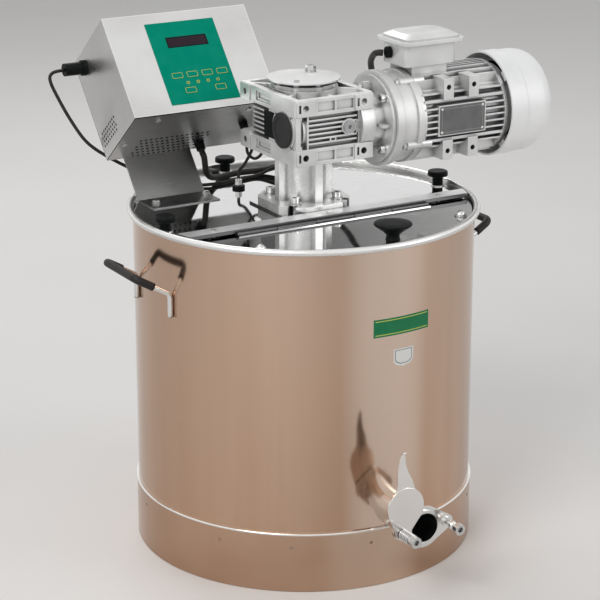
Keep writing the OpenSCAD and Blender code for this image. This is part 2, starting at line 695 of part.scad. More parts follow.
module gearbox_housing() color("lightgray") difference() {
    mid = (box_rear - box_front) / 2;
    deep_y = box_front + box_rear;
    gap = (box_h - 2 * rail_h) / (fin_n + 1);
    union() {
        // Round wheel case with ring fins
        translate([0, 0, box_z]) cylinder(r = case_r, h = box_h);
        for (i = [1 : fin_n]) translate([0, 0, box_z + rail_h + i * gap - fin_t / 2]) {
            cylinder(r = case_r + case_fin, h = fin_t);
            translate([0, 14, 0]) round_box(2 * (case_r + case_fin), 84, fin_t, 26);
        }
        // Worm case in front of it, with flat fins
        translate([-box_half + rail_proud, -box_front + rail_proud + 4, box_z])
            cube([box_x - 2 * rail_proud, box_front - 20, box_h]);
        for (i = [1 : fin_n]) translate([-40, -box_front + 1.2, box_z + rail_h + i * gap - fin_t / 2])
            cube([75, 20, fin_t]);
        for (z = [box_z, box_top - rail_h]) translate([0, mid, z]) round_box(box_x, deep_y, rail_h, 5);
        // Posts at the corners of the worm case
        for (x = [-box_half + 1, box_half - 10]) translate([x, -box_front + 0.6, box_z + 4])
            cube([9, 20, box_h - 8]);
        translate([-42, -box_front + 1, box_z + 4]) cube([2.5, 12, box_h - 8]);
        translate([37, -box_front + 1, box_z + 4]) cube([4, 12, box_h - 8]);
        translate([-box_half + 1, -28, box_z + 4]) cube([12, 20, box_h - 8]);
        // Corner lugs with their bolt holes
        for (x = [-box_half + 15, box_half - 15]) for (z = [box_z + 0.6, box_top - rail_h + 0.6])
            translate([x, 0, z + rail_h / 2 - 0.6]) rotate([90, 0, 0])
                translate([0, 0, box_front - 10]) round_box(lug_w - 2, rail_h - 1.2, 11.6, 2);
        for (s = [-1, 1]) for (z = [box_z + 0.6, box_top - rail_h + 0.6])
            translate([s * (box_half - 8), box_rear - 14, z + rail_h / 2 - 0.6]) rotate([0, s * 90, 0])
                round_box(rail_h - 1.2, 26, 9.4, 2);
        // Oil plug boss and the small bosses beside it
        translate([22, -box_front + 10, axis_z + 2]) rotate([90, 0, 0]) cylinder(r = 11, h = 10.5);
        for (z = [-6, 8]) translate([42, -box_front + 10, axis_z + z]) rotate([90, 0, 0])
            cylinder(r = 3.4, h = 9.6);
        translate([34, -box_front + 1.4, axis_z - 8]) cube([6.3, 10, 18]);
        translate([-7, -box_front + 0.8, axis_z - 16]) cube([10, 10, 7]);
        at_motor(-box_half - 1) cylinder(r = 29, h = 20);
        at_motor(box_half - 20) cylinder(r = neck_r + 2, h = 20 - seat);
    }
    translate([0, 0, box_z - 1]) cylinder(r = bearing_r + fit, h = box_h + 2);
    translate([0, 0, axis_z - 14]) cylinder(r = wheel_r + 5, h = 28);
    at_motor(-box_half - 5) cylinder(r = worm_bearing_r + fit, h = box_x + 10);
    for (x = [-box_half + 15, box_half - 15]) for (z = [box_z, box_top - rail_h]) {
        translate([x, -box_front - 5, z + rail_h / 2]) rotate([-90, 0, 0]) cylinder(r = lug_hole, h = 24);
        translate([x - 9, -box_front - 1.8, z + rail_h / 2]) cube([3.4, 9, 11], center = true);
    }
    for (s = [-1, 1]) for (z = [box_z, box_top - rail_h])
        translate([s * (box_half - 14), box_rear - 14, z + rail_h / 2])
        rotate([0, s * 90, 0]) cylinder(r = lug_hole, h = 30);
    // Shallow panels in the rails
    for (z = [box_z, box_top - rail_h]) {
        for (x = [-26, 3]) translate([x, -box_front - 4, z + 5]) cube([26, 7, rail_h - 10]);
        translate([-box_half - 4, -14, z + 5]) cube([6, 40, rail_h - 10]);
        translate([-box_half - 4, -10, z + 8]) cube([8, 32, rail_h - 16]);
    }
    translate([-5, -box_front - 4, axis_z - 14]) cube([6, 10, 3]);
    // Deep slot beside the front post, and a hole at the end of the upper rail
    translate([-52, -box_front - 1, box_z + rail_h + 4]) cube([5.5, 8, box_h - 2 * rail_h - 8]);
    translate([33, -box_front - 1, box_top - rail_h + 8]) cube([8, 9, 8]);
    // Pocket in the top face round the cover, with ribs left across it
    difference() {
        translate([-box_half + 9, -box_front + 8, box_top - pocket])
            cube([box_x - 18, box_front + box_rear - 16, pocket + 5]);
        translate([0, 0, box_top - pocket - 1]) cylinder(r = cover_r + 1.5, h = pocket + 8);
        for (a = [0 : 45 : 135]) rotate(a) translate([-100, -2.5, box_top - pocket - 1])
            cube([200, 5, pocket + 8]);
    }
    for (a = [45, 135, 225, 315]) at_motor(-box_half - 5) rotate(a) translate([cap_r + 3.2, 0, 0])
        cylinder(r = 1.7, h = 8);
    translate([22, -box_front - 2, axis_z + 2]) rotate([-90, 0, 0]) cylinder(r = 7 + fit, h = 8);
    around([0, 90, 180, 270]) translate([38, 0, box_top - 12]) cylinder(r = 2.5 + fit, h = 14);
}
module top_cover() color("lightgray") translate([0, 0, box_top + seat]) difference() {
    union() {
        ring(cover_r - 3, 19, cover_t - 2);
        around([0 : 45 : 315]) translate([38, 0, 0]) cylinder(r = 7, h = cover_t - 2);
        around([45, 225]) translate([disc_screw_r, 0, 0]) cylinder(r = 5, h = cover_t + 3 - seat);
    }
    around([0, 90, 180, 270]) translate([38, 0, -1]) cylinder(r = 2.5 + fit, h = cover_t + 2);
    around([45, 225]) translate([disc_screw_r, 0, 2]) cylinder(r = 2 + fit, h = cover_t + 6);
}
module cover_disc() color("silver") translate([0, 0, disc_z]) difference() {
    cylinder(r = disc_d / 2, h = disc_t);
    around([45, 225]) translate([disc_screw_r, 0, -1]) cylinder(r = 2 + fit, h = 5);
}
module button_screws() color("gainsboro") {
    around([45, 225]) translate([disc_screw_r, 0, disc_z + disc_t + seat]) {
        cylinder(r = 3.8, h = 2);
        translate([0, 0, -9]) cylinder(r = 2, h = 10);
    }
    for (p = foot_screws) translate([p[0], p[1], lid_z + sheet_t + 2 * seat]) {
        cylinder(r = 5.5, h = 4, $fn = 6);
        cylinder(r = 6.5, h = 1);
        translate([0, 0, -sheet_t - rear_lid_t - 8]) cylinder(r = 3, h = 12);
        translate([0, 0, -sheet_t - rear_lid_t - 5.5 - 4 * seat]) cylinder(r = 5.5, h = 5, $fn = 6);
    }
    for (p = [[40, 14], [10.5, 77], [180, 14]]) at_panel() translate([p[0], ctrl_h + seat, p[1]])
        rotate([-90, 0, 0]) {
        cylinder(r = 4, h = 2);
        translate([0, 0, -6]) cylinder(r = 1.9, h = 7);
    }
}
module worm_end_cap() color("dimgray") at_motor(-box_half - 4) difference() {
    union() {
        cylinder(r = cap_r, h = 3 - seat);
        cylinder(r = worm_bearing_r - 0.1, h = 12);
    }
    translate([0, 0, -1]) cylinder(r = 17, h = 2);
    translate([0, 0, 8]) cylinder(r = 15, h = 10);
}
module oil_plug() color("gray") translate([22, -box_front + 6 - seat, axis_z + 2]) rotate([90, 0, 0])
    difference() {
    union() {
        cylinder(r = 7, h = 6);
        translate([0, 0, 6.6]) cylinder(r = 8.5, h = 2.4);
        cylinder(r = 5, h = 8);
    }
    translate([0, 0, 4]) cylinder(r = 3, h = 8, $fn = 6);
}
module hollow_shaft() color("gray") translate([0, 0, box_z + 2]) difference() {
    union() {
        cylinder(r = hollow_r, h = box_h - 4);
        translate([0, 0, box_h / 2 - 2 - 13]) cylinder(r = hollow_r + 3, h = 3);
    }
    translate([0, 0, -1]) cylinder(r = shaft_r + fit, h = box_h);
}
// Tooth space as a cutter, straight but slanted by the lead angle
module tooth_space() {
    half = thread_w / 2 + backlash;
    up = 2.5;
    low = 2.6;
    k = tan(pressure_a);
    translate([0, -wheel_r, 0]) rotate([0, lead_a, 0]) translate([0, 0, -wheel_w])
        linear_extrude(2 * wheel_w)
        polygon([[-half - up * k, -up], [half + up * k, -up], [half - low * k, low],
            [-half + low * k, low]]);
}
module worm_wheel() color("goldenrod") translate([0, 0, axis_z]) difference() {
    translate([0, 0, -wheel_w / 2]) cylinder(r = wheel_r + module_m, h = wheel_w);
    translate([0, 0, -wheel_w]) cylinder(r = hollow_r + fit, h = 2 * wheel_w);
    for (s = [-1, 1]) translate([0, 0, s * (wheel_w / 2)]) ring(33, 24, 3);
    for (i = [0 : wheel_n - 1]) rotate(i * 360 / wheel_n) tooth_space();
}
// Section of the one-start worm, radius by angle from the crest
function thread_angle(r) = (thread_w / 2 - (r - worm_pitch_r) * tan(pressure_a)) * 360 / worm_lead;
module worm_section() {
    top = thread_angle(worm_tip_r);
    mid = thread_angle(worm_pitch_r);
    low = thread_angle(worm_root_r);
    pts = [[worm_tip_r, 0], [worm_tip_r, top], [worm_tip_r - 1, (top + mid) / 2], [worm_pitch_r, mid],
        [worm_pitch_r - 1.2, (mid + low) / 2], [worm_root_r, low], [worm_root_r, (low + 180) / 2],
        [worm_root_r, 180]];
    back = [for (i = [6 : -1 : 1]) [pts[i][0], -pts[i][1]]];
    polygon([for (p = concat(pts, back)) [p[0] * cos(p[1]), p[0] * sin(p[1])]]);
}
module worm_shaft() color("gray") difference() {
    union() {
        at_motor(-worm_len / 2)
            linear_extrude(worm_len, twist = -360 * worm_turns, slices = 12 * worm_turns, segments = 14,
                $fn = 14)
            rotate(90) worm_section();
        at_motor(-box_half + 8) cylinder(r = journal_r, h = 15);
        at_motor(-box_half + 15) cylinder(r = 7, h = 22);
        at_motor(25) cylinder(r = 7.4, h = 4);
        at_motor(28) cylinder(r = journal_r, h = neck_x0 + 4 - 28);
    }
    at_motor(34) cylinder(r = shaft_m + fit, h = 60);
}
module gearbox_bearings() color("gray") {
    for (z = [box_z + 5, box_top - 5 - bearing_w]) translate([0, 0, z])
        ring(bearing_r, hollow_r + fit, bearing_w);
    for (x = [-box_half + 10, box_half - 10 - bearing_w]) at_motor(x)
        ring(worm_bearing_r, journal_r + fit, bearing_w);
}

// Stirrer
module stirrer_shaft() color("silver") difference() {
    translate([0, 0, floor_z + 8]) cylinder(r = shaft_r, h = box_top - 8 - floor_z - 8);
    translate([0, 0, floor_z]) cylinder(r = pivot_r + 0.08, h = 24);
}
module stirrer_arms() color("silver") for (i = [0 : arm_n - 1])
    translate([0, 0, arm_z0 + i * arm_step]) rotate(20 + i * 60) difference() {
        union() {
            translate([0, 0, -16]) cylinder(r = hub_r, h = 32);
            for (s = [0, 180]) rotate(s) translate([12, 0, 0]) rotate([arm_tilt, 0, 0])
                translate([0, -arm_w / 2, -arm_t / 2]) cube([arm_r - 12, arm_w, arm_t]);
        }
        translate([0, 0, -50]) cylinder(r = shaft_r + fit, h = 100);
    }
module floor_pivot() color("gray") translate([0, 0, floor_z + seat]) {
    cylinder(r = 24, h = 4);
    cylinder(r = pivot_r, h = 20);
}

// Motor
module input_flange() color("lightgray") difference() {
    union() {
        at_motor(neck_x0) cylinder(r = neck_r, h = 16);
        at_motor(disc_x0) cylinder(r = input_r, h = disc_x1 - disc_x0 - seat);
        for (a = [0, 90, 180, 270]) at_motor(neck_x0 + 3) rotate(a) translate([0, -2, 0]) cube([52, 4, 13]);
    }
    at_motor(neck_x0 - 1) cylinder(r = 24, h = 30);
    for (a = [45, 135, 225, 315]) at_motor(neck_x0) rotate(a) translate([50, 0, 0])
        cylinder(r = 3.5 + fit, h = 40);
}
module motor_shield() color("lightgray") difference() {
    union() {
        at_motor(disc_x1) cylinder(r = shield_d / 2, h = 10);
        at_motor(disc_x1 + 9) cylinder(r = shield_d / 2 - 4, h = shield_len - 9 - 6);
        at_motor(shield_x1 - 8) cylinder(r = shield_d / 2 - 1, h = 8 - seat);
        // Through bolts with their heads
        for (a = [30 : 90 : 300]) at_motor(shield_x1 - 22) rotate(a) translate([fin_r - 4, 0, 0]) {
            cylinder(r = 6.5, h = 22 - 2 * seat);
            translate([0, 0, -5]) cylinder(r = 4.4, h = 6, $fn = 6);
        }
    }
    at_motor(disc_x1 + 12) cylinder(r = core_r - 4, h = shield_len);
    at_motor(disc_x1 - 1) cylinder(r = shaft_m + fit, h = 60);
    for (a = [45, 135, 225, 315]) at_motor(neck_x0) rotate(a) translate([50, 0, 0])
        cylinder(r = 3.5 + fit, h = 40);
}
// One fin at height k across the side, as far out as the round envelope allows
module motor_fin(k, t, far) {
    out = min(far, sqrt(pow(fin_r, 2) - pow(k, 2)));
    translate([shield_x1 + 3, -out, k - t / 2])
        cube([frame_len - 6, out - sqrt(pow(core_r - 3, 2) - pow(k, 2)), t]);
}
module motor_frame() color("lightgray") difference() {
    union() {
        at_motor(shield_x1) cylinder(r = core_r, h = frame_len);
        at_motor(shield_x1) cylinder(r = fin_r - 1, h = 5);
        at_motor(frame_x1 - 5) cylinder(r = fin_r - 1, h = 5);
        at_motor(frame_x1 - 5) cylinder(r = core_r + 3, h = 16);
        for (a = [45 : 90 : 315]) at_motor(cowl_x0 + 1) rotate(a) translate([core_r - 6, -7, 0])
            cube([cowl_r - 2.6 - free - core_r + 6 - 0.4, 14, 9]);
        // Flat fins on the four sides, with a stouter rail above and below each row
        translate([0, -centre_a, axis_z]) for (a = [0 : 90 : 270]) rotate([a, 0, 0]) {
            for (k = [-2 : 2]) motor_fin(k * 8.6, 2.4, 62);
            for (k = [-27, 27]) motor_fin(k, 4, 58);
            for (k = [-36, 36]) motor_fin(k, 2.4, 53);
        }
        // Pad for the rating plate
        at_motor(shield_x1 + 23) rotate([0, 0, -90]) translate([core_r - 8, -21, 0]) cube([17, 42, 77]);
        // Cast ears for feet, drilled across
        for (x = [motor_ear_x0, motor_ear_x1]) for (s = [-1, 1]) for (z = [[28, 57], [-55, -28]])
            translate([x - 8, -centre_a + (s < 0 ? -61 : 33), axis_z + z[0]]) cube([16, 28, z[1] - z[0]]);
        // Ears of the through bolts
        for (a = [30 : 90 : 300]) at_motor(shield_x1) rotate(a) translate([fin_r - 4, 0, 0])
            cylinder(r = 7, h = 16);
        translate([tbox_x0 + 12, -centre_a - 27, axis_z + core_r - 12])
            cube([tbox_x - 26, 54, tbox_z - axis_z - core_r + 12 - seat]);
    }
    at_motor(shield_x1 - 1) cylinder(r = core_r - 5, h = frame_len - 5);
    at_motor(shield_x1 - 1) cylinder(r = shaft_m + fit, h = frame_len + 30);
    for (x = [motor_ear_x0, motor_ear_x1]) for (z = [45, -43]) translate([x, -centre_a, axis_z + z])
        rotate([90, 0, 0]) cylinder(r = 3.6, h = 140, center = true);
}
module motor_stator() color("gray") at_motor(shield_x1 + 12) ring(core_r - 5 - fit, 33, 100);
module motor_rotor() color("gray") {
    at_motor(36) cylinder(r = shaft_m, h = cowl_x1 - 36 - 22);
    at_motor(shield_x1 + 17) cylinder(r = 32.5, h = 90);
}
module motor_fan() color("dimgray") at_motor(cowl_x0 + 16) difference() {
    union() {
        cylinder(r = 14, h = 24);
        cylinder(r = 58, h = 2.5);
        for (a = [0 : 60 : 300]) rotate(a) translate([12, -1.2, 0]) cube([44, 2.4, 20]);
    }
    translate([0, 0, -1]) cylinder(r = shaft_m + fit, h = 40);
}
module fan_cowl() color("gainsboro") at_motor(cowl_x0) difference() {
    dome = 24;
    top = cowl_len - dome;
    rotate_extrude() polygon(concat(
        [[cowl_r - 2.6, 0], [cowl_r, 0], [cowl_r, 27], [cowl_r - 1.2, 27.6]],
        [for (a = [0 : 15 : 90]) [cowl_r - 1.2 - 15 * (1 - cos(a)), top + dome * sin(a)]],
        [[0, cowl_len], [0, cowl_len - 2.4]],
        [for (a = [90 : -15 : 0]) [cowl_r - 3.6 - 14 * (1 - cos(a)), top + (dome - 2.4) * sin(a)]],
        [[cowl_r - 3.6, 28], [cowl_r - 2.6, 27.4]]));
    for (n = [6, 12, 18]) for (i = [0 : n - 1]) rotate(i * 360 / n)
        translate([n * 3, 0, cowl_len - 10]) cylinder(r = 4.2, h = 20);
}
module terminal_box() color("lightgray") translate([tbox_x0 + tbox_x / 2, -centre_a, tbox_z]) difference() {
    round_box(tbox_x, tbox_y, tbox_h, 8);
    translate([0, 0, 3]) round_box(tbox_x - 6, tbox_y - 6, tbox_h, 6);
}
module terminal_lid() color("lightgray") translate([tbox_x0 + tbox_x / 2 + 2, -centre_a, tlid_z + seat]) {
    round_box(tbox_x + 17, tbox_y + 16, 5, 10);
    hull() {
        translate([0, 0, 4]) round_box(tbox_x + 6, tbox_y + 6, 4, 10, $fn = 32);
        translate([0, 0, 8]) round_box(tbox_x - 12, tbox_y - 12, 5, 12, $fn = 32);
    }
}
module temperature_probe() color("silver") translate([each probe_at, lid_z]) {
    translate([0, 0, -150]) cylinder(r = 3, h = 150 + probe_top);
    translate([0, 0, 4.2]) cylinder(r = 5.5, h = 8, $fn = 6);
}

// Control box
module control_box() color("gainsboro") difference() {
    at_panel() difference() {
        cube([ctrl_w, ctrl_h - sheet_t - seat, ctrl_d - sheet_t - seat]);
        translate([sheet_t, sheet_t, sheet_t]) cube([ctrl_w - 2 * sheet_t, ctrl_h, ctrl_d]);
    }
    at_panel() translate([window_u, window_w, -1]) cube([window_x, window_y, 5]);
    at_panel() translate([-1, socket_w, socket_t]) rotate([0, 90, 0]) cylinder(r = 8, h = 5);
    for (i = [0 : 7]) for (j = [0 : 3]) at_panel()
        translate([-1, ctrl_h - 36 + j * 6, 60 + i * 7 + (j % 2) * 3.5]) rotate([0, 90, 0])
            cylinder(r = 1.9, h = 5, $fn = 8);
}
module control_bottom() color("gainsboro") at_panel() difference() {
    translate([0, ctrl_h - sheet_t, 0]) cube([ctrl_w, sheet_t, ctrl_d - sheet_t - seat]);
    for (i = [0 : 13]) for (j = [0 : 5]) translate([34 + i * 8 + (j % 2) * 4, ctrl_h - 5, 72 + j * 9])
        rotate([-90, 0, 0]) cylinder(r = 2.2, h = 10, $fn = 8);
    for (p = [[40, 14], [10.5, 77], [180, 14]]) translate([p[0], ctrl_h - 5, p[1]]) rotate([-90, 0, 0])
        cylinder(r = 1.9 + fit, h = 10);
    translate([gland_u, ctrl_h - 5, gland_v]) rotate([-90, 0, 0]) cylinder(r = 6 + fit, h = 10);
    translate([power_u, ctrl_h - 5, power_v]) rotate([-90, 0, 0]) cylinder(r = 6 + fit, h = 10);
}
module control_stand() color("gainsboro") difference() {
    union() {
        difference() {
            at_panel() translate([0, 0, ctrl_d - sheet_t]) linear_extrude(sheet_t)
                polygon([[0, 0], [ctrl_w, 0], [ctrl_w, ctrl_h], [stand_x0 + stand_w, ctrl_h],
                    [stand_x0 + stand_w, ctrl_h + stand_run + 6], [stand_x0, ctrl_h + stand_run + 6],
                    [stand_x0, ctrl_h], [0, ctrl_h]]);
            translate([ctrl_x0 - 50, 0, lid_z - 20]) cube([ctrl_w + 100, 300, 20 + sheet_t / 2]);
        }
        translate([ctrl_x0 + stand_x0 + 1, foot_y - foot_len, lid_z + seat])
            cube([stand_w - 2, foot_len - 1.2, sheet_t]);
    }
    for (p = foot_screws) translate([p[0], p[1], lid_z - 5]) cylinder(r = 3 + fit, h = 20);
}
module keypad() color("seagreen") at_panel() {
    difference() {
        translate([foil_u, foil_w, -0.6 - seat]) cube([foil_x, foil_y, 0.6]);
        translate([window_u, window_w, -2]) cube([window_x, window_y, 5]);
    }
    for (i = [0 : 3]) translate([window_u - 10 + i * 23, 95, -1.2]) cube([key_x, key_y, 0.7]);
    for (u = [87, 133]) translate([u, 119, -1.2]) cube([key_x, key_y, 0.7]);
    for (i = [0 : 3]) translate([95 + i * 15.4, 112, -1]) cylinder(r = 2.2, h = 0.6);
}
module control_board() color("darkgreen") at_panel() {
    difference() {
        translate([50, 30, 14]) cube([126, 100, 1.6]);
        for (x = [56, 170]) for (y = [36, 124]) translate([x, y, 10]) cylinder(r = 1.6, h = 10);
    }
    translate([window_u + 0.3, window_w + 0.3, 0.2]) cube([window_x - 0.6, window_y - 0.6, 13.85]);
    for (x = [56, 170]) for (y = [36, 124]) translate([x, y, sheet_t + seat])
        cylinder(r = 3, h = 14 - sheet_t - seat);
    translate([70, 70, 15.5]) cube([30, 26, 22]);
    translate([120, 76, 15.5]) cylinder(r = 8, h = 20);
}
module gland(r) {
    cylinder(r = r + 4, h = 5, $fn = 6);
    translate([0, 0, 4]) cylinder(r = r + 2.6, h = 7);
    translate([0, 0, -3]) cylinder(r = 5.9, h = 4);
}
module glands() color("dimgray") {
    for (p = [[gland_u, gland_v, 4], [power_u, power_v, 5]]) at_panel()
        translate([p[0], ctrl_h + seat, p[1]])
        rotate([-90, 0, 0]) gland(p[2] - 1);
    at_panel() translate([-seat, socket_w, socket_t]) rotate([0, -90, 0]) {
        cylinder(r = 11, h = 6);
        cylinder(r = 9, h = plug_len);
        translate([0, 0, -3]) cylinder(r = 7.9, h = 4);
    }
    translate([tbox_x0 - seat, -centre_a + 10, tbox_z + tbox_h / 2]) rotate([0, -90, 0])
        cylinder(r = 8, h = 5);
    for (p = [probe_at, lead_at]) translate([p[0], p[1], lid_z + seat]) difference() {
        union() {
            cylinder(r = 9, h = 4);
            translate([0, 0, -5]) cylinder(r = 6.4, h = 7);
        }
        translate([0, 0, -10]) cylinder(r = 3 + fit, h = 30);
    }
}
module cables() color("dimgray") {
    tube(smooth(lead_pts, 4), 2.4, 8);
    tube(smooth(power_pts, 3), 4.4, 10);
    tube(smooth(probe_pts, 4), 2.2, 8);
}

drum_wall();
drum_floor();
base_skirt();
handle_rods();
handle_grips();
gate_pipe();
gate_blade();
gate_bolts();
gate_spring();
gate_ball_nut();
wall_lugs();
lid_bridge();
rear_lid();
cover_strip();
strip_rivets();
hinge_leaf();
hinge_pin();
front_lid();
lid_knob();
lid_screws();
lid_buffers();
clamp_knob_right();
clamp_knob_rear();
clamp_knob_left();
clamp_stud_right();
clamp_stud_rear();
clamp_stud_left();
knob_washers();
output_flange();
cap_screws();
gearbox_housing();
top_cover();
cover_disc();
button_screws();
worm_end_cap();
oil_plug();
hollow_shaft();
worm_wheel();
worm_shaft();
gearbox_bearings();
stirrer_shaft();
stirrer_arms();
floor_pivot();
input_flange();
motor_shield();
motor_frame();
motor_stator();
motor_rotor();
motor_fan();
fan_cowl();
terminal_box();
terminal_lid();
temperature_probe();
control_box();
control_bottom();
control_stand();
keypad();
control_board();
glands();
cables();
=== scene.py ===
import math

import bmesh
import bpy
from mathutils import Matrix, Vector


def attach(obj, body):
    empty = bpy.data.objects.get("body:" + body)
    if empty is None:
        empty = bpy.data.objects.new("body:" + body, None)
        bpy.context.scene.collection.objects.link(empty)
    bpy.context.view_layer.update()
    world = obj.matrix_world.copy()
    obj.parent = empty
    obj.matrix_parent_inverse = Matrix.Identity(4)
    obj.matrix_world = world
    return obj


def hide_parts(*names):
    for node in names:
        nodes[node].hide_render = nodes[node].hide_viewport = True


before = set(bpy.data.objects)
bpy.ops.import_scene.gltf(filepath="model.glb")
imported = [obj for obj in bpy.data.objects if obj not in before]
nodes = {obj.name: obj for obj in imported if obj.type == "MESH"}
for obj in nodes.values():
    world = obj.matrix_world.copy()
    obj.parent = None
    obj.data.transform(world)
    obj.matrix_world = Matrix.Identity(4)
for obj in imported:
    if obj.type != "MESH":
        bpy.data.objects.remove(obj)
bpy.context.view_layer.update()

scene = bpy.context.scene
MM = 0.001

# Camera, as solved from the photo's drum circles
AZIMUTH = -30.2
ELEVATION = 18.07
cam = bpy.data.cameras.new("camera")
cam.lens = 130.4
cam.sensor_width = 36
cam.clip_start = 0.1
cam.clip_end = 50
cam_ob = bpy.data.objects.new("camera", cam)
scene.collection.objects.link(cam_ob)
cam_ob.location = (-1.4563, -2.4922, 1.2758)
cam_ob.rotation_euler = (math.radians(90 - ELEVATION), 0, math.radians(AZIMUTH))
scene.camera = cam_ob

# Sizes of the CAD part, in millimetres
DRUM_R = 235
SKIRT_R = 237.4
# Heights above which the drum wall is its bead, the skirt its wire and the front lid its hinge knuckles
BEAD_Z = 469
WIRE_Z = 80.6
KNUCKLE_Z = 471.3
# The gate: height of its middle, y of its pipe's mouth, and its bolts to either side
GATE_Z = 109
GATE_Y = -315
BOLT_X = 36
SPRING_R = 7
SPRING_WIRE_R = 1.0
HANDLE_Z = 362
HANDLE_HALF = 50
HANDLE_LEG = 32
HANDLE_REACH = 47
HANDLE_RISE = 27
ROD_R = 3.5
GRIP_R = 5.5
# Centre of the motor's plate pad, and of the gearbox's side plate
PAD = (183.5, -113, 595)
SIDE = (-59, -11, 595)
# The cover disc's top, and the x and y of its rear screw
DISC_TOP = 652
SCREW_AT = 26.16
# Where the control box's panel begins, and the box's height and lean
CTRL_X = -212
CTRL_Y = 186
CTRL_Z = 720
CTRL_H = 156
LEAN = math.radians(40)
# The round holes in the box's side: their middle above the panel's end and behind it, how far round it they
# reach, and the bend below them
HOLES_UP = 27
HOLES_BACK = 86
HOLES_R = 40
BEND_UP = 12
# The way the control box's bottom plate faces, down along the leaning panel
PLATE_NORMAL = (0, -math.sin(LEAN), -math.cos(LEAN))
# The side of the drum that the photo shows, as an angle round it
FRONT = -108


def panel(u, w, t):
    """A point on the sloping panel: u along it, w down it, t out of it, in millimetres."""
    y = CTRL_Y - math.sin(LEAN) * w - math.cos(LEAN) * t
    z = CTRL_Z - math.cos(LEAN) * w + math.sin(LEAN) * t
    return Vector((u + CTRL_X, y, z)) * MM


def circle(r, n, turn=0.0):
    """Points round a circle, the first one turned by a share of a step."""
    steps = [2 * math.pi * (j + turn) / n for j in range(n)]
    return [(r * math.cos(w), r * math.sin(w)) for w in steps]


# Shader helpers
class Shade:
    """A small builder for one node material."""

    def __init__(self, name):
        self.m = bpy.data.materials.new(name)
        self.m.use_nodes = True
        self.t = self.m.node_tree
        self.b = self.t.nodes["Principled BSDF"]
        self.co = self.t.nodes.new("ShaderNodeTexCoord").outputs["Object"]

    def node(self, kind, **values):
        n = self.t.nodes.new(kind)
        for k, v in values.items():
            setattr(n, k, v)
        return n

    def link(self, a, b):
        self.t.links.new(a, b)

    def xyz(self):
        n = self.node("ShaderNodeSeparateXYZ")
        self.link(self.co, n.inputs[0])
        return n.outputs

    def normal(self):
        return self.node("ShaderNodeNewGeometry").outputs["Normal"]

    def stretch(self, scale):
        n = self.node("ShaderNodeMapping")
        n.inputs["Scale"].default_value = scale
        self.link(self.co, n.inputs["Vector"])
        return n.outputs["Vector"]

    def noise(self, scale, detail=3, vector=None, rough=0.5):
        n = self.node("ShaderNodeTexNoise")
        n.inputs["Scale"].default_value = scale
        n.inputs["Detail"].default_value = detail
        n.inputs["Roughness"].default_value = rough
        self.link(vector or self.co, n.inputs["Vector"])
        return n.outputs["Fac"]

    def spread(self, value, a, b, low=0.3, high=0.7):
        """A value between low and high, carried over to a and b."""
        n = self.node("ShaderNodeMapRange")
        n.inputs["From Min"].default_value = low
        n.inputs["From Max"].default_value = high
        n.inputs["To Min"].default_value = a
        n.inputs["To Max"].default_value = b
        self.link(value, n.inputs["Value"])
        return n.outputs["Result"]

    def mix(self, fac, a, b):
        n = self.node("ShaderNodeMix", data_type="RGBA")
        for socket, v in ((n.inputs[6], a), (n.inputs[7], b)):
            if isinstance(v, tuple):
                socket.default_value = (*v, 1)
            else:
                self.link(v, socket)
        self.link(fac, n.inputs[0])
        return n.outputs[2]

    def math(self, op, *values):
        n = self.node("ShaderNodeMath", operation=op)
        for socket, v in zip(n.inputs, values):
            if isinstance(v, (int, float)):
                socket.default_value = v
            else:
                self.link(v, socket)
        return n.outputs[0]

    def vector(self, op, *values):
        """A vector operation; dot products and distances give a number."""
        n = self.node("ShaderNodeVectorMath", operation=op)
        for socket, v in zip(n.inputs, values):
            if isinstance(v, (tuple, Vector)):
                socket.default_value = v
            else:
                self.link(v, socket)
        return n.outputs["Value" if op in ("DOT_PRODUCT", "DISTANCE") else "Vector"]

    def bump(self, height, strength, distance, edge=0.0):
        n = self.node("ShaderNodeBump")
        n.inputs["Strength"].default_value = strength
        n.inputs["Distance"].default_value = distance
        self.link(height, n.inputs["Height"])
        if edge:
            e = self.node("ShaderNodeBevel", samples=4)
            e.inputs["Radius"].default_value = edge
            self.link(e.outputs["Normal"], n.inputs["Normal"])
        self.link(n.outputs["Normal"], self.b.inputs["Normal"])

    def colour(self, v):
        self.link(v, self.b.inputs["Base Color"])

    def rough(self, v):
        if isinstance(v, float):
            self.b.inputs["Roughness"].default_value = v
        else:
            self.link(v, self.b.inputs["Roughness"])

    def set(self, **values):
        for k, v in values.items():
            self.b.inputs[k.replace("_", " ")].default_value = v


def hollow_shade(s, reach, amount):
    """Painted shade: 0 on open faces, up to amount in low places."""
    low = s.node("ShaderNodeAmbientOcclusion", samples=6)
    low.inputs["Distance"].default_value = reach
    return s.spread(low.outputs["AO"], amount, 0, 0.25, 0.85)


def edges(s, radius):
    """1 along sharp edges, 0 on flat faces."""
    bevel = s.node("ShaderNodeBevel", samples=4)
    bevel.inputs["Radius"].default_value = radius
    return s.spread(s.vector("DOT_PRODUCT", bevel.outputs["Normal"], s.normal()), 1, 0, 0.86, 0.995)


def cut_edge(s, face):
    """1 on the edges of sheet that faces one way, 0 on its two faces."""
    return s.math("LESS_THAN", s.math("ABSOLUTE", s.vector("DOT_PRODUCT", s.normal(), face)), 0.6)


def facing(s, angle, low, high):
    """1 where the wall faces an angle round the drum, falling to 0."""
    unit = s.vector("NORMALIZE", s.vector("MULTIPLY", s.co, (1, 1, 0)))
    a = math.radians(angle)
    dot = s.vector("DOT_PRODUCT", unit, (math.cos(a), math.sin(a), 0))
    n = s.node("ShaderNodeMapRange", interpolation_type="SMOOTHSTEP")
    n.inputs["From Min"].default_value = math.cos(math.radians(low))
    n.inputs["From Max"].default_value = math.cos(math.radians(high))
    s.link(dot, n.inputs["Value"])
    return n.outputs["Result"]


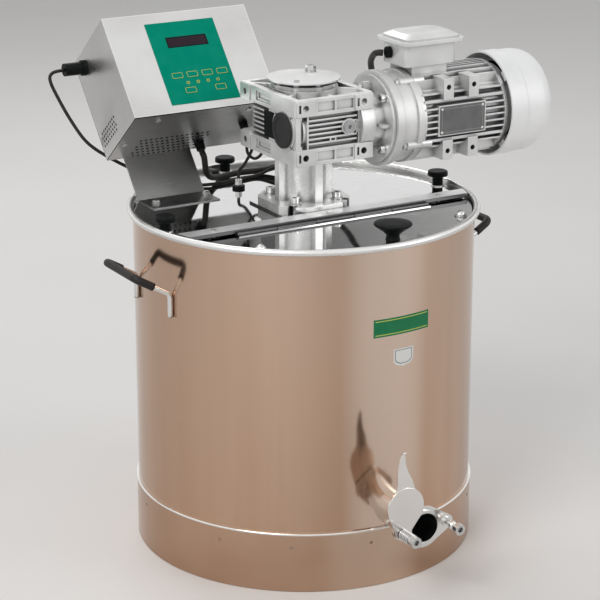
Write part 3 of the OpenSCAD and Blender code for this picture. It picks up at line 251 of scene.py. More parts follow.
# Materials
def brushed(name, dark, light, rough, along="x", edge=0.0, bump=0.05, face=None, cut_shade=0.006):
    """Satin sheet metal, brushed along one axis; with a face direction, its cut edges are painted dark as
    shade, in the given colour.
    """
    s = Shade(name)
    scale = {"x": (12, 900, 900), "y": (900, 12, 900), "z": (700, 700, 10)}[along]
    grain = s.noise(1, 4, s.stretch(scale), 0.6)
    cloud = s.noise(9, 3)
    base = s.mix(s.spread(cloud, 0, 1), dark, light)
    if face:
        # painted shade on the cut edges
        base = s.mix(cut_edge(s, face), base, (cut_shade, cut_shade, cut_shade))
    s.colour(base)
    s.rough(s.math("ADD", s.spread(grain, rough - 0.05, rough + 0.06), s.spread(cloud, -0.02, 0.03)))
    s.bump(grain, bump, 0.0002, edge)
    s.set(Metallic=1.0)
    return s.m


def box_sheet(name):
    """The control box's satin sheet: a painted highlight on its bends, and painted shade on the walls of the
    side's round holes.
    """
    s = Shade(name)
    grain = s.noise(1, 4, s.stretch((12, 900, 900)), 0.6)
    cloud = s.noise(9, 3)
    base = s.mix(s.spread(cloud, 0, 1), (0.60, 0.59, 0.58), (0.70, 0.70, 0.69))
    away = s.vector("DISTANCE", s.co, panel(0, CTRL_H - HOLES_UP, -HOLES_BACK))
    down = s.vector("DOT_PRODUCT", s.co, PLATE_NORMAL)
    bend = Vector(PLATE_NORMAL).dot(panel(0, CTRL_H - BEND_UP, 0))
    holes = s.math("MULTIPLY", s.math("LESS_THAN", away, HOLES_R * MM), s.math("LESS_THAN", down, bend))
    # painted highlight on the bends and edges, kept off the holes
    edge_highlight = s.math("MULTIPLY", edges(s, 0.0022), s.math("SUBTRACT", 1.0, holes))
    base = s.mix(s.math("MULTIPLY", edge_highlight, 0.85), base, (0.97, 0.97, 0.965))
    # painted shade: the walls of the side's round holes are near black
    inside = s.math("MULTIPLY", holes, cut_edge(s, (1, 0, 0)))
    s.colour(s.mix(inside, base, (0.006, 0.006, 0.006)))
    s.rough(s.math("ADD", s.spread(grain, 0.25, 0.36), s.spread(cloud, -0.02, 0.03)))
    s.bump(grain, 0.05, 0.0002)
    s.set(Metallic=1.0)
    return s.m


def cast(name, dark, light, rough, metal, grain=700, strength=0.25, edge=0.0009, shade_depth=0.8, reach=0.012):
    """Sand-textured casting, with painted shade in its low places and a painted highlight along its edges."""
    s = Shade(name)
    fine = s.noise(grain, 4)
    cloud = s.noise(26, 4)
    base = s.mix(s.spread(cloud, 0, 1), dark, light)
    # painted highlight: edges lightened toward near white
    base = s.mix(s.math("MULTIPLY", edges(s, 0.0014), 0.6), base, (0.93, 0.93, 0.925))
    # painted shade: low places darkened toward near black
    s.colour(s.mix(hollow_shade(s, reach, shade_depth), base, tuple(c * 0.12 for c in dark)))
    s.rough(s.math("ADD", s.spread(fine, rough - 0.06, rough + 0.08), s.spread(cloud, -0.03, 0.04)))
    s.bump(fine, strength, 0.0004, edge)
    s.set(Metallic=metal)
    return s.m


def plain(name, colour, rough, grain=1200, strength=0.1, metal=0.0, edge=0.0005, vary=0.25, gloss=0.5,
          reach=0):
    """Moulded plastic, rubber or a small turned piece; with a reach, it has painted shade in its low places.
    """
    s = Shade(name)
    fine = s.noise(grain, 3)
    cloud = s.noise(60, 3)
    other = tuple(min(1, c * (1 + vary) + 0.004) for c in colour)
    base = s.mix(s.spread(cloud, 0, 1), colour, other)
    if reach:
        # painted shade in low places
        base = s.mix(hollow_shade(s, reach, 0.9), base, tuple(c * 0.08 for c in colour))
    s.colour(base)
    s.rough(s.spread(fine, rough - 0.05, rough + 0.07))
    s.bump(fine, strength, 0.0002, edge)
    s.set(Metallic=metal, Specular_IOR_Level=gloss)
    return s.m


def turned(name, colour, rough, edge=0.0005, vary=0.25, grain=900, strength=0.1, reach=0):
    """A small metal piece."""
    return plain(name, colour, rough, grain, strength, 1.0, edge, vary, reach=reach)


def printed(name, colour, rough=0.4, strength=0.03, metal=0.0, vary=0.1, gloss=0.5, edge=0.0002):
    """A smooth foil, print, label or window."""
    return plain(name, colour, rough, 1500, strength, metal, edge, vary, gloss)


def drum_material():
    """Satin drum sheet: fine rings of polish, softly clouded, with its bright rolled bead; its warm colour is
    a painted reflection, with painted reflection streaks and bands, painted shade on the sides away from the
    front and a painted highlight band.
    """
    s = Shade("drum_sheet")
    ring = s.noise(1, 4, s.stretch((25, 25, 1600)), 0.6)
    cloud = s.noise(7, 3)
    streak = s.noise(1, 3, s.stretch((26, 26, 1.2)))
    band = s.noise(1, 1, s.stretch((4.5, 4.5, 0.3)))
    z = s.xyz()[2]
    # painted reflection: a warm surface below mirrored in the steel, warmer low down
    height = s.spread(z, 0, 1, 0.08, 0.46)
    warm_reflection = s.mix(height, (0.53, 0.335, 0.225), (0.59, 0.425, 0.33))
    # painted reflection: lighter vertical streaks
    warm_reflection = s.mix(s.math("MULTIPLY", s.spread(streak, 0, 1, 0.35, 0.65), 0.35), warm_reflection, (0.65, 0.47, 0.36))
    warm_reflection = s.mix(s.spread(cloud, 0, 0.3), warm_reflection, (0.57, 0.415, 0.315))
    # painted reflection: broad darker bands round the drum
    warm_reflection = s.mix(s.spread(band, 0.3, 0, 0.38, 0.52), warm_reflection, (0.42, 0.26, 0.17))
    # painted shade: darker on the sides turned away from the front
    side = s.math("SUBTRACT", 1.0, facing(s, FRONT, 88, 38))
    warm_reflection = s.mix(s.math("MULTIPLY", side, 0.5), warm_reflection, (0.42, 0.27, 0.185))
    # painted highlight: a bright vertical band
    warm_reflection = s.mix(s.math("MULTIPLY", facing(s, -92, 17, 2), 0.75), warm_reflection, (0.72, 0.575, 0.48))
    bead = s.math("GREATER_THAN", z, BEAD_Z * MM)
    s.colour(s.mix(bead, warm_reflection, (0.76, 0.755, 0.74)))
    low = s.math("ADD", s.spread(ring, 0.10, 0.15), s.spread(cloud, -0.015, 0.02))
    s.rough(s.math("ADD", low, s.math("MULTIPLY", bead, 0.16)))
    s.bump(ring, 0.03, 0.0002)
    s.set(Metallic=1.0)
    return s.m


def skirt_material():
    """Skirt sheet like the drum's, with its bright edge wire; its warm colour is a painted reflection, with
    painted shade on the sides away from the front and a painted highlight band.
    """
    s = Shade("skirt_sheet")
    ring = s.noise(1, 4, s.stretch((25, 25, 1600)), 0.6)
    cloud = s.noise(7, 3)
    wire = s.math("GREATER_THAN", s.xyz()[2], WIRE_Z * MM)
    # painted reflection: a warm surface below mirrored in the steel
    warm_reflection = s.mix(s.spread(cloud, 0, 1), (0.46, 0.295, 0.20), (0.55, 0.38, 0.275))
    # painted shade: darker on the sides turned away from the front
    side = s.math("SUBTRACT", 1.0, facing(s, FRONT, 88, 38))
    warm_reflection = s.mix(s.math("MULTIPLY", side, 0.5), warm_reflection, (0.38, 0.235, 0.155))
    # painted highlight: a bright vertical band
    warm_reflection = s.mix(s.math("MULTIPLY", facing(s, -97, 20, 4), 0.5), warm_reflection, (0.64, 0.50, 0.40))
    s.colour(s.mix(wire, warm_reflection, (0.80, 0.78, 0.75)))
    s.rough(s.math("SUBTRACT", s.spread(ring, 0.17, 0.24), s.math("MULTIPLY", wire, 0.06)))
    s.bump(ring, 0.04, 0.0002)
    s.set(Metallic=1.0)
    return s.m


def mirror_material(name, shade_above=None):
    """Mirror-polished lid sheet with the faint waves of thin plate; what is above a height is painted dark as
    shade, and rougher.
    """
    s = Shade(name)
    wave = s.noise(7, 2)
    wipe = s.noise(1, 4, s.stretch((60, 260, 60)), 0.6)
    base = s.mix(s.spread(wipe, 0, 1), (0.62, 0.62, 0.62), (0.68, 0.68, 0.675))
    rough = s.spread(wipe, 0.035, 0.07)
    if shade_above:
        # painted shade above the height
        shade_mask = s.math("GREATER_THAN", s.xyz()[2], shade_above)
        base = s.mix(shade_mask, base, (0.12, 0.12, 0.12))
        rough = s.math("ADD", rough, s.math("MULTIPLY", shade_mask, 0.3))
    s.colour(base)
    s.rough(rough)
    s.bump(wave, 0.12, 0.004)
    s.set(Metallic=1.0)
    return s.m


def thread_material(name, pitch=1.25, starts=-336.5):
    """Gate bolt steel, threaded as far as the screw heads, with painted shade in its low places."""
    s = Shade(name)
    along = s.xyz()[1]
    turns = s.math("SINE", s.math("MULTIPLY", along, 2 * math.pi / (pitch * MM)))
    turns = s.math("MULTIPLY", turns, s.math("GREATER_THAN", along, starts * MM))
    fine = s.noise(900, 3)
    base = s.mix(s.spread(fine, 0, 1), (0.52, 0.52, 0.51), (0.68, 0.68, 0.67))
    # painted shade: low places near black
    s.colour(s.mix(hollow_shade(s, 0.005, 0.95), base, (0.03, 0.03, 0.03)))
    s.rough(s.spread(fine, 0.22, 0.36))
    s.bump(turns, 0.5, 0.0003, 0.0004)
    s.set(Metallic=1.0)
    return s.m


def spring_material(name):
    """Spring wire, bright on the outside of the turns, with painted shade on their side toward the bolt."""
    s = Shade(name)
    p = s.xyz()
    x, z = s.math("ADD", p[0], BOLT_X * MM), s.math("SUBTRACT", p[2], GATE_Z * MM)
    away = s.math("SQRT", s.math("ADD", s.math("MULTIPLY", x, x), s.math("MULTIPLY", z, z)))
    fine = s.noise(900, 3)
    base = s.mix(s.spread(fine, 0, 1), (0.62, 0.61, 0.60), (0.74, 0.73, 0.72))
    # painted shade: the turns' side toward the bolt is near black
    inner_shade = s.spread(away, 1, 0, (SPRING_R - 0.4) * MM, (SPRING_R + 0.4) * MM)
    s.colour(s.mix(inner_shade, base, (0.012, 0.012, 0.012)))
    s.rough(s.spread(fine, 0.18, 0.28))
    s.bump(fine, 0.1, 0.0002, 0.0002)
    s.set(Metallic=1.0)
    return s.m


M = {
    "drum": drum_material(),
    "skirt": skirt_material(),
    "mirror": mirror_material("mirror_sheet"),
    # the front lid's hinge knuckles are painted dark as the shade under the cover strip
    "front_sheet": mirror_material("front_sheet", KNUCKLE_Z * MM),
    "box_sheet": box_sheet("sheet_x"),
    # The cover strip's upright edges are painted dark as the shade line under it.
    "strip": brushed("strip_sheet", (0.76, 0.76, 0.76), (0.86, 0.86, 0.86), 0.36, bump=0.08,
                     face=(0, 0, 1), cut_shade=0.15),
    # The stand is a darker copy of the box's sheet, as a painted dark reflection.
    "stand": brushed("stand_sheet", (0.28, 0.28, 0.28), (0.36, 0.355, 0.35), 0.30, edge=0.0006),
    # The pierced bottom's hole walls are painted near black as shade.
    "pierced": brushed("pierced_sheet", (0.40, 0.395, 0.39), (0.48, 0.475, 0.47), 0.30, face=PLATE_NORMAL),
    # The hinge is painted near black as the shade under the cover strip.
    "hinge": brushed("hinge_shade", (0.10, 0.10, 0.10), (0.15, 0.15, 0.15), 0.30, edge=0.0004),
    "disc": brushed("disc_sheet", (0.66, 0.66, 0.655), (0.76, 0.76, 0.755), 0.38, edge=0.0006),
    "bright": brushed("bright_steel", (0.66, 0.65, 0.63), (0.78, 0.77, 0.75), 0.16, "y", 0.0006, 0.04),
    "blade": brushed("blade_steel", (0.76, 0.73, 0.70), (0.88, 0.85, 0.82), 0.2, "z", 0.0008, 0.04),
    "cast": cast("cast_aluminium", (0.66, 0.66, 0.655), (0.80, 0.80, 0.79), 0.40, 0.75, reach=0.010),
    "cast_smooth": cast("machined_aluminium", (0.72, 0.72, 0.715), (0.84, 0.84, 0.83), 0.30, 0.9, 900, 0.12),
    "shield": cast("shield_aluminium", (0.66, 0.66, 0.655), (0.76, 0.76, 0.75), 0.45, 0.5, 900, 0.12,
                   shade_depth=0.5),
    "motor": cast("motor_aluminium", (0.64, 0.64, 0.635), (0.76, 0.76, 0.755), 0.38, 0.7, 900, 0.15,
                  shade_depth=0.75),
    "box": cast("box_aluminium", (0.64, 0.64, 0.635), (0.74, 0.74, 0.735), 0.42, 0.5, 900, 0.12, shade_depth=0.5),
    "cowl": cast("cowl_paint", (0.86, 0.865, 0.865), (0.92, 0.925, 0.925), 0.42, 0.1, 1500, 0.08, 0.0012,
                 shade_depth=0.4),
    "black": plain("black_plastic", (0.003, 0.004, 0.004), 0.42, gloss=0.09),
    "rubber": plain("black_rubber", (0.013, 0.011, 0.010), 0.5, 700, 0.25, gloss=0.3),
    "cap": plain("end_cap_rubber", (0.026, 0.026, 0.026), 0.55, 500, 0.2, gloss=0.2),
    "iron": plain("stator_iron", (0.16, 0.16, 0.17), 0.55, 500, 0.3, 0.6),
    "board": plain("board_green", (0.02, 0.16, 0.07), 0.4),
    "lamp": plain("lamp_lens", (0.06, 0.22, 0.10), 0.25, 1500, 0.02, gloss=0.3),
    "zinc": turned("zinc_steel", (0.60, 0.60, 0.59), 0.24, 0.0004, 0.3, reach=0.004),
    "weld": turned("spot_weld", (0.30, 0.21, 0.155), 0.35, 0.0002, 0.3),
    "tool": turned("ground_steel", (0.40, 0.40, 0.41), 0.24, strength=0.08),
    "bronze": turned("bronze", (0.60, 0.38, 0.16), 0.32, grain=600, strength=0.15),
    "thread": thread_material("bolt_steel"),
    "spring": spring_material("spring_wire"),
    "green": printed("green_foil", (0.0, 0.265, 0.175), vary=0.06, gloss=0.03),
    "yellow": printed("yellow_print", (0.47, 0.53, 0.10), strength=0.02, edge=0.0001),
    "cell": printed("display_cells", (0.026, 0.008, 0.016), 0.3, 0.01, gloss=0.15),
    "display": printed("display_window", (0.014, 0.010, 0.018), 0.22, 0.01, gloss=0.2),
    "label": printed("green_label", (0.010, 0.17, 0.065), gloss=0.2),
    "white": printed("white_label", (0.72, 0.72, 0.70), vary=0.05),
    "grey_print": printed("shield_print", (0.16, 0.17, 0.16), vary=0.08),
    "plate": printed("grey_plate", (0.13, 0.13, 0.13), 0.38, metal=0.3, vary=0.2),
    "plate_edge": printed("plate_border", (0.34, 0.34, 0.34), metal=0.3, vary=0.2),
}

dress = {
    "drum": "drum_wall",
    "skirt": "base_skirt",
    "mirror": "rear_lid",
    "front_sheet": "front_lid",
    "box_sheet": "control_box",
    "stand": "control_stand",
    "pierced": "control_bottom",
    "hinge": "hinge_leaf hinge_pin",
    "disc": "cover_disc",
    "strip": "cover_strip",
    "bright": "handle_rods gate_pipe wall_lugs lid_bridge drum_floor stirrer_shaft stirrer_arms floor_pivot "
              "temperature_probe knob_washers gate_ball_nut",
    "blade": "gate_blade",
    "cast": "gearbox_housing top_cover input_flange",
    "cast_smooth": "output_flange",
    "shield": "motor_shield",
    "motor": "motor_frame",
    "box": "terminal_box terminal_lid",
    "cowl": "fan_cowl",
    "black": "lid_knob clamp_knob_right clamp_knob_rear clamp_knob_left glands motor_fan",
    "rubber": "handle_grips lid_buffers cables",
    "cap": "worm_end_cap",
    "zinc": "strip_rivets lid_screws clamp_stud_right clamp_stud_rear clamp_stud_left button_screws "
            "cap_screws",
    "spring": "gate_spring",
    "thread": "gate_bolts",
    "bronze": "worm_wheel",
    "tool": "hollow_shaft worm_shaft gearbox_bearings motor_rotor oil_plug",
    "iron": "motor_stator",
    "green": "keypad",
    "board": "control_board",
}
for key, names in dress.items():
    for n in names.split():
        nodes[n].data.materials.clear()
        nodes[n].data.materials.append(M[key])
missing = [n for n in nodes if not any(n in v.split() for v in dress.values())]
if missing:
    raise RuntimeError("no material for %s" % missing)


# Geometry helpers
def add_mesh(name, verts, faces, mat, body="drum", smooth=True):
    me = bpy.data.meshes.new(name)
    me.from_pydata([tuple(v) for v in verts], [], faces)
    me.validate()
    me.materials.append(mat)
    if smooth:
        me.polygons.foreach_set("use_smooth", [True] * len(me.polygons))
    ob = bpy.data.objects.new(name, me)
    scene.collection.objects.link(ob)
    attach(ob, body)
    return ob


def join(name, parts):
    """Several meshes as one object."""
    bm = bmesh.new()
    for ob in parts:
        bm.from_mesh(ob.data)
    bm.to_mesh(parts[0].data)
    bm.free()
    parts[0].name = name
    for ob in parts[1:]:
        bpy.data.objects.remove(ob)


def bands(loops, n):
    """Faces between loops of n points that follow each other."""
    faces = []
    for i in range(loops - 1):
        for j in range(n):
            k = (j + 1) % n
            faces.append((i * n + j, i * n + k, (i + 1) * n + k, (i + 1) * n + j))
    return faces


def caps(loops, n):
    """Closing faces of the first and the last loop."""
    return [tuple(range(n))[::-1], tuple((loops - 1) * n + j for j in range(n))]


def pts_mm(p):
    return [Vector(v) * MM for v in p]


def catmull(p, k):
    """A smooth curve through points, with k steps from each to the next."""
    out = []
    for i in range(len(p) - 1):
        a, b, c, d = p[max(i - 1, 0)], p[i], p[i + 1], p[min(i + 2, len(p) - 1)]
        for j in range(k):
            t = j / k
            out.append(0.5 * (2 * b + (c - a) * t + (2 * a - 5 * b + 4 * c - d) * t * t
                              + (3 * b - a - 3 * c + d) * t * t * t))
    out.append(p[-1])
    return out


def bent(p, bend, k=6):
    """A path of straight lines with round corners."""
    out = [p[0]]
    for a, b, c in zip(p, p[1:], p[2:]):
        u, v = (b - a).normalized(), (c - b).normalized()
        turn = u.angle(v)
        n = (v - u * u.dot(v)).normalized()
        o = b - u * bend * math.tan(turn / 2) + n * bend
        out += [o + (u * math.sin(turn * j / k) - n * math.cos(turn * j / k)) * bend for j in range(k + 1)]
    return out + [p[-1]]


def resample(pts, step):
    out = [pts[0]]
    for a, b in zip(pts, pts[1:]):
        n = max(1, round((b - a).length / step))
        out += [a.lerp(b, j / n) for j in range(1, n + 1)]
    return out


def tube(name, pts, r, mat, sides=20):
    """A round rod or cable swept along points in metres."""
    last = len(pts) - 1
    tan = [(pts[min(i + 1, last)] - pts[max(i - 1, 0)]).normalized() for i in range(last + 1)]
    up = Vector((0, 0, 1)) if abs(tan[0].z) < 0.9 else Vector((1, 0, 0))
    n = tan[0].cross(up).normalized()
    verts = []
    for p, t in zip(pts, tan):
        n = (n - t * n.dot(t)).normalized()
        b = t.cross(n)
        verts += [p + (n * x + b * y) * r for x, y in circle(1, sides)]
    faces = bands(len(pts), sides) + caps(len(pts), sides)
    return add_mesh(name, verts, faces, mat)


# Cables, routes as in the CAD source
def route(start, rest):
    """Cable route in metres: points already in metres, then points in millimetres."""
    return catmull(start + pts_mm(rest), 8)


lead = route([panel(-32.2, 23, -94)],
             [(-262, 242, 640), (-267, 240, 630), (-258, 235, 605), (-242, 225, 570), (-224, 215, 541),
              (-195, 205, 518), (-154, 200, 494), (-118, 190, 478), (-91, 170, 473.1), (-58, 156, 473.1),
              (-20, 162, 473.1), (20, 168, 473.1), (46, 164, 482), (58, 153, 486), (60, 150, 481),
              (60, 150, 474.2)])
power = route([panel(137, 167.2 + d, -104) for d in (0, 6, 13)],
              [(-66, 158, 488), (-40, 176, 476), (0, 186, 475.3), (45, 180, 476.5), (80, 160, 492),
               (105, 125, 515), (125, 85, 550), (133, 50, 590), (124, 24, 632), (108, 2, 660),
               (98, -22, 676), (96, -36, 681), (101, -40, 681)])
probe = route([panel(189, 167.2 + d, -58) for d in (0, 5, 10)],
              [(-22, 120, 524), (-10, 122, 512), (4, 126, 516), (10, 133, 530), (3, 139, 532),
               (-8, 138, 514), (-20, 134, 501), (-29, 130, 496), (-31, 130, 491), (-31, 130, 487.5),
               (-31, 130, 484.15)])
sensor_lead = tube("sensor_lead", lead, 2.4 * MM, M["rubber"], 16)
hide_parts("cables")
tube("motor_cable", power, 4.4 * MM, M["rubber"], 20)
tube("probe_cable", probe, 2.2 * MM, M["rubber"], 16)


# Spot welds of the skirt: the first four as in the photo, then evenly round
def spot_weld(angle, z=64):
    w = math.radians(angle)
    mid, side = Vector((math.cos(w), math.sin(w), 0)), Vector((-math.sin(w), math.cos(w), 0))
    verts = []
    for r, h in ((2.6, -0.1), (2.2, 0.12), (1.5, 0.16), (0.9, 0.02)):
        for x, y in circle(r, 20):
            verts.append(((SKIRT_R + h) * mid + x * side + Vector((0, 0, y + z))) * MM)
    return add_mesh("spot", verts, bands(4, 20) + [tuple(60 + j for j in range(20))], M["weld"])


weld_angles = [-187.8, -148.7, -124.2, -97.8] + [-71 + 27 * i for i in range(9)]
join("spot_welds", [spot_weld(a) for a in weld_angles])

# Handles
BEND = 9 * MM
SEAT = 0.05
leg_x = math.sqrt((DRUM_R + ROD_R + SEAT) ** 2 - HANDLE_HALF ** 2)
for s, side in ((-1, "left"), (1, "right")):
    top = HANDLE_Z + HANDLE_LEG
    front = [(s * leg_x, -HANDLE_HALF, HANDLE_Z), (s * leg_x, -HANDLE_HALF, top),
             (s * (leg_x + HANDLE_REACH), 4 - HANDLE_HALF, top + HANDLE_RISE)]
    path = pts_mm(front + [(x, -y, z) for x, y, z in front[::-1]])
    line = resample(bent(path, BEND), 0.006)
    rod = tube("handle_rod_" + side, line, ROD_R * MM, M["bright"], 20)
    held = [(path[1] + path[2]) / 2, path[2], path[3], (path[3] + path[4]) / 2]
    line = resample(bent(held, BEND), 0.004)
    grip = tube("handle_grip_" + side, line, GRIP_R * MM, M["rubber"], 24)
    if s < 0:
        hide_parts("handle_rods")
        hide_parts("handle_grips")

# Coil spring on the gate's pivot bolt
TURNS = 6.5
STEPS = 24
COIL_GAP = 4.2
COIL_LENGTH = 22.7
coil = []
for i in range(int(TURNS * STEPS) + 1):
    w = 2 * math.pi * i / STEPS
    y = GATE_Y - COIL_GAP - COIL_LENGTH * i / (TURNS * STEPS)
    coil.append((-BOLT_X + SPRING_R * math.cos(w), y, GATE_Z + SPRING_R * math.sin(w)))
spring = tube("gate_spring_coil", pts_mm(coil), SPRING_WIRE_R * MM, M["spring"], 12)
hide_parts("gate_spring")


# Flat prints and plates
def outline(x, y, r, k=6):
    """Rounded rectangle about the origin, counterclockwise."""
    out = []
    for cx, cy, a in ((x / 2 - r, y / 2 - r, 0), (r - x / 2, y / 2 - r, 90), (r - x / 2, r - y / 2, 180),
                      (x / 2 - r, r - y / 2, 270)):
        for j in range(k + 1):
            w = math.radians(a + 90 * j / k)
            out.append((cx + r * math.cos(w), cy + r * math.sin(w)))
    return out


def lay(name, shape, place, t0, t1, mat, hole=None, soft=0.0):
    """A thin plate from t0 to t1, placed by a function of two plane values and a height; or a frame."""
    n = len(shape)
    loops = [[(p, t0) for p in shape], [(p, t1 - soft) for p in shape]]
    if soft:
        cx, cy = sum(p[0] for p in shape) / n, sum(p[1] for p in shape) / n
        k = 1 - soft / max(abs(p[0] - cx) for p in shape)
        loops.append([((cx + (p[0] - cx) * k, cy + (p[1] - cy) * k), t1) for p in shape])
    if hole:
        loops += [[(p, t1) for p in hole], [(p, t0) for p in hole]]
    verts = [place(p[0], p[1], t) for loop in loops for p, t in loop]
    faces = bands(len(loops), n)
    if hole:
        last = (len(loops) - 1) * n
        faces += [(last + j, last + (j + 1) % n, (j + 1) % n, j) for j in range(n)]
    else:
        faces += caps(len(loops), n)
    return add_mesh(name, verts, faces, mat, smooth=False)


# Foil of the control box: keys, lamps and display, all without lettering
def at_panel(cu, cw):
    return lambda x, y, t: panel(cu + x, cw - y, t)


keys = [(82.5 + 23 * i, 99.5) for i in range(4)] + [(95.5, 123.5), (141.5, 123.5)]
join("key_outlines", [lay("key", outline(16.4, 8.6, 1.6), at_panel(u, w), 1.15, 1.32, M["yellow"],
                          outline(15.0, 7.2, 1.0)) for u, w in keys])
lamps = [at_panel(95 + 15.4 * i, 112) for i in range(4)]
ring, lens = circle(2.5, 28), circle(1.5, 28)
join("lamp_rings", [lay("lamp", ring, place, 0.95, 1.15, M["yellow"], lens) for place in lamps])
join("lamp_lenses", [lay("lens", lens, place, 0.9, 1.12, M["lamp"], soft=0.12) for place in lamps])
window = at_panel(115, 48)
lay("display_frame", outline(62.6, 16.6, 0.6), window, 0.5, 0.78, M["black"], outline(59.6, 13.6, 0.5))
lay("display_glass", outline(61, 15, 0.5), window, 0.2, 0.62, M["display"], soft=0.1)
join("display_cells", [lay("cell", outline(2.7, 4.6, 0.2, 1), at_panel(87.6 + col * 3.65, 45.2 + row * 5.6),
                           0.6, 0.64, M["cell"]) for row in range(2) for col in range(16)])


# Labels on the drum
def on_wall(angle, z, t):
    a = math.radians(angle)
    return Vector(((DRUM_R + t) * math.cos(a), (DRUM_R + t) * math.sin(a), z)) * MM


def wall_patch(name, shape, t0, t1, mat):
    """A label bent round the drum; shape gives its left and right angle at each height."""
    k = 16
    verts, faces = [], []
    for t in (t0, t1):
        for z, a, b in shape:
            verts += [on_wall(a + (b - a) * j / k, z, t) for j in range(k + 1)]
    n, m = k + 1, len(shape)
    for side in (0, 1):
        o = side * n * m
        for i in range(m - 1):
            for j in range(k):
                q = (o + i * n + j, o + i * n + j + 1, o + (i + 1) * n + j + 1, o + (i + 1) * n + j)
                faces.append(q if side else q[::-1])
    edge = list(range(n)) + [i * n + k for i in range(1, m)]
    edge += [(m - 1) * n + k - j for j in range(1, n)] + [i * n for i in range(m - 2, 0, -1)]
    for a, b in zip(edge, edge[1:] + edge[:1]):
        faces.append((a, b, b + n * m, a + n * m))
    add_mesh(name, verts, faces, mat, smooth=False)


wall_patch("drum_label", [(352, -97.5, -76), (376.5, -97.5, -76)], 0.02, 0.22, M["label"])
for name, z in (("drum_label_line", 354.2), ("drum_label_line_top", 373.1)):
    wall_patch(name, [(z, -96.9, -76.6), (z + 1.2, -96.9, -76.6)], 0.2, 0.26, M["yellow"])

# A bare shield with a thin line inside its border: its foot, height and middle, its angle and half its width
SHIELD_Z = 307
SHIELD_H = 25
SHIELD_MID = 321
SHIELD_ANGLE = -86.3
SHIELD_HALF = 3.9
shield = []
for j in range(15):
    up = SHIELD_H * j / 14
    half = SHIELD_HALF * min(1, math.sin(math.pi / 2 * min(1, (up / 10) ** 0.6)))
    shield.append((SHIELD_Z + up, SHIELD_ANGLE - half, SHIELD_ANGLE + half))
wall_patch("shield_label", shield, 0.02, 0.2, M["white"])
for name, size, inset, out, mat in (("shield_line", 0.84, 0.55, 0.26, "grey_print"),
                                    ("shield_field", 0.76, 0.80, 0.32, "white")):
    core = []
    for i, (z, a, b) in enumerate(shield[1:]):
        d = inset + (0.2 if i < 2 else 0)
        core.append((z * size + SHIELD_MID * (1 - size), a + d, b - d))
    wall_patch(name, core, 0.18, out, M[mat])


# Rating plate, bare, on the motor's pad, and the dark plate on the gearbox's side
def at_pad(x, y, t):
    return Vector((PAD[0] + x, PAD[1] - t, PAD[2] + y)) * MM


def at_side(x, y, t):
    return Vector((SIDE[0] - t, SIDE[1] - x, SIDE[2] + y)) * MM


def rivet(a, b):
    def place(x, y, t):
        return at_pad(a + x, b + y, t)
    return lay("rivet", circle(2.0, 20), place, 0.4, 1.4, M["zinc"], soft=0.6)


lay("rating_plate", outline(73, 39, 2), at_pad, 0.02, 0.6, M["plate"], soft=0.15)
join("rating_plate_field", [lay("field", outline(67, 33, 1), at_pad, 0.58, 0.66, M["plate_edge"],
                                outline(66, 32, 0.6))])
join("rating_plate_rivets", [rivet(a, b) for a in (-33, 33) for b in (-16, 16)])
lay("gearbox_plate", outline(30, 36, 1.5), at_side, 0.05, 0.6, M["black"], soft=0.15)


# Hexagon head with its washer, over the cover disc's rear screw
def turned_loops(sizes, n):
    """A stack of n-sided loops about the rear screw, closed at both ends."""
    verts = []
    for r, h in sizes:
        verts += [Vector((SCREW_AT + x, SCREW_AT + y, DISC_TOP + h)) * MM for x, y in circle(r, n, 0.5)]
    return add_mesh("hex", verts, bands(len(sizes), n) + caps(len(sizes), n), M["zinc"], smooth=False)


join("disc_bolt_head", [turned_loops([(8.0, 0.02), (8.0, 1.4)], 24),
                        turned_loops([(7.5, 1.4), (7.5, 7.6), (6.6, 8.2)], 6)])


# Floor, card and light
def staged(name, verts, s):
    """One face of the surroundings."""
    me = bpy.data.meshes.new(name)
    me.from_pydata(verts, [], [(0, 1, 2, 3)])
    me.materials.append(s.m)
    ob = bpy.data.objects.new(name, me)
    scene.collection.objects.link(ob)
    return ob


FLOOR_HALF = 6
FLOOR_Z = -0.0006
corners = ((-1, -1), (1, -1), (1, 1), (-1, 1))
pale = Shade("floor_pale")
pale.colour(pale.mix(pale.spread(pale.noise(3, 3), 0, 1), (0.80, 0.79, 0.78), (0.82, 0.81, 0.80)))
pale.rough(0.75)
staged("floor", [(x * FLOOR_HALF, y * FLOOR_HALF, FLOOR_Z) for x, y in corners], pale)

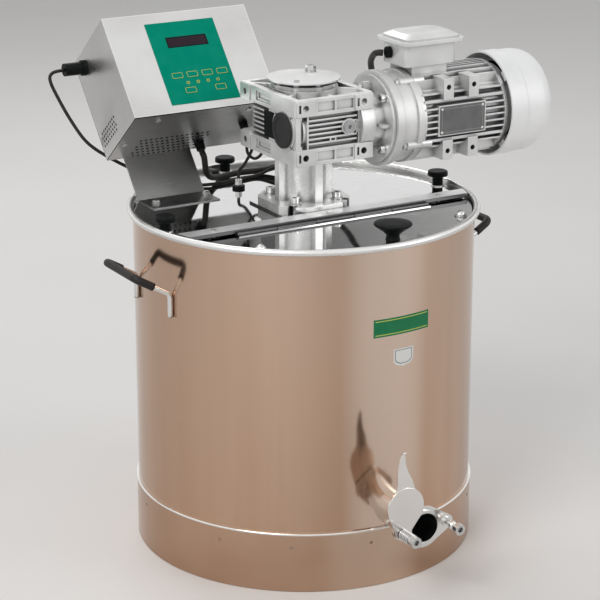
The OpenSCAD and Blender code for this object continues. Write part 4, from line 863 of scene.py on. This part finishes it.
# A card behind and above the machine, dark on the left, that only polished metal mirrors
dark = Shade("card_dark")
fade = dark.spread(dark.xyz()[0], 0, 1, 0.55, 1.3)
dark.colour(dark.mix(fade, (0.05, 0.05, 0.05), (0.80, 0.80, 0.80)))
dark.rough(0.9)
card = staged("card", [(-0.7, 1.2, 0.891), (1.5, 1.2, 0.891), (1.5, 1.3, 1.5), (-0.7, 1.3, 1.5)], dark)
for ray in ("visible_camera", "visible_diffuse", "visible_shadow", "visible_transmission"):
    setattr(card, ray, False)

# White where the camera, mirrors and clear pieces look, and softer as light on the part
LIGHT_LEVEL = 0.42
SEEN_LEVEL = 0.98
world = bpy.data.worlds.new("studio")
scene.world = world
world.use_nodes = True
wt = world.node_tree
bg = wt.nodes["Background"]
path = wt.nodes.new("ShaderNodeLightPath")
seen = path.outputs["Is Camera Ray"]
for ray in ("Is Glossy Ray", "Is Transmission Ray"):
    either = wt.nodes.new("ShaderNodeMath")
    either.operation = "MAXIMUM"
    wt.links.new(seen, either.inputs[0])
    wt.links.new(path.outputs[ray], either.inputs[1])
    seen = either.outputs[0]
level = wt.nodes.new("ShaderNodeMapRange")
level.inputs["To Min"].default_value = LIGHT_LEVEL
level.inputs["To Max"].default_value = SEEN_LEVEL
wt.links.new(seen, level.inputs["Value"])
wt.links.new(level.outputs["Result"], bg.inputs["Strength"])
bg.inputs["Color"].default_value = (1, 1, 1, 1)


def area(name, place, look, size, power):
    li = bpy.data.lights.new(name, "AREA")
    li.shape = "RECTANGLE"
    li.size, li.size_y = size
    li.energy = power
    ob = bpy.data.objects.new(name, li)
    scene.collection.objects.link(ob)
    ob.location = place
    ob.rotation_euler = (Vector(look) - Vector(place)).to_track_quat("-Z", "Y").to_euler()


# Place, the point looked at, size in metres and power in watts
area("key", (-2.2, -1.2, 2.6), (0, 0, 0.4), (1.6, 1.6), 42)
area("fill", (2.0, -2.2, 1.6), (0, 0, 0.4), (1.5, 1.5), 16)
area("back", (0.4, 2.4, 2.4), (0, 0, 0.5), (2.0, 1.0), 24)

scene.view_settings.view_transform = "Standard"
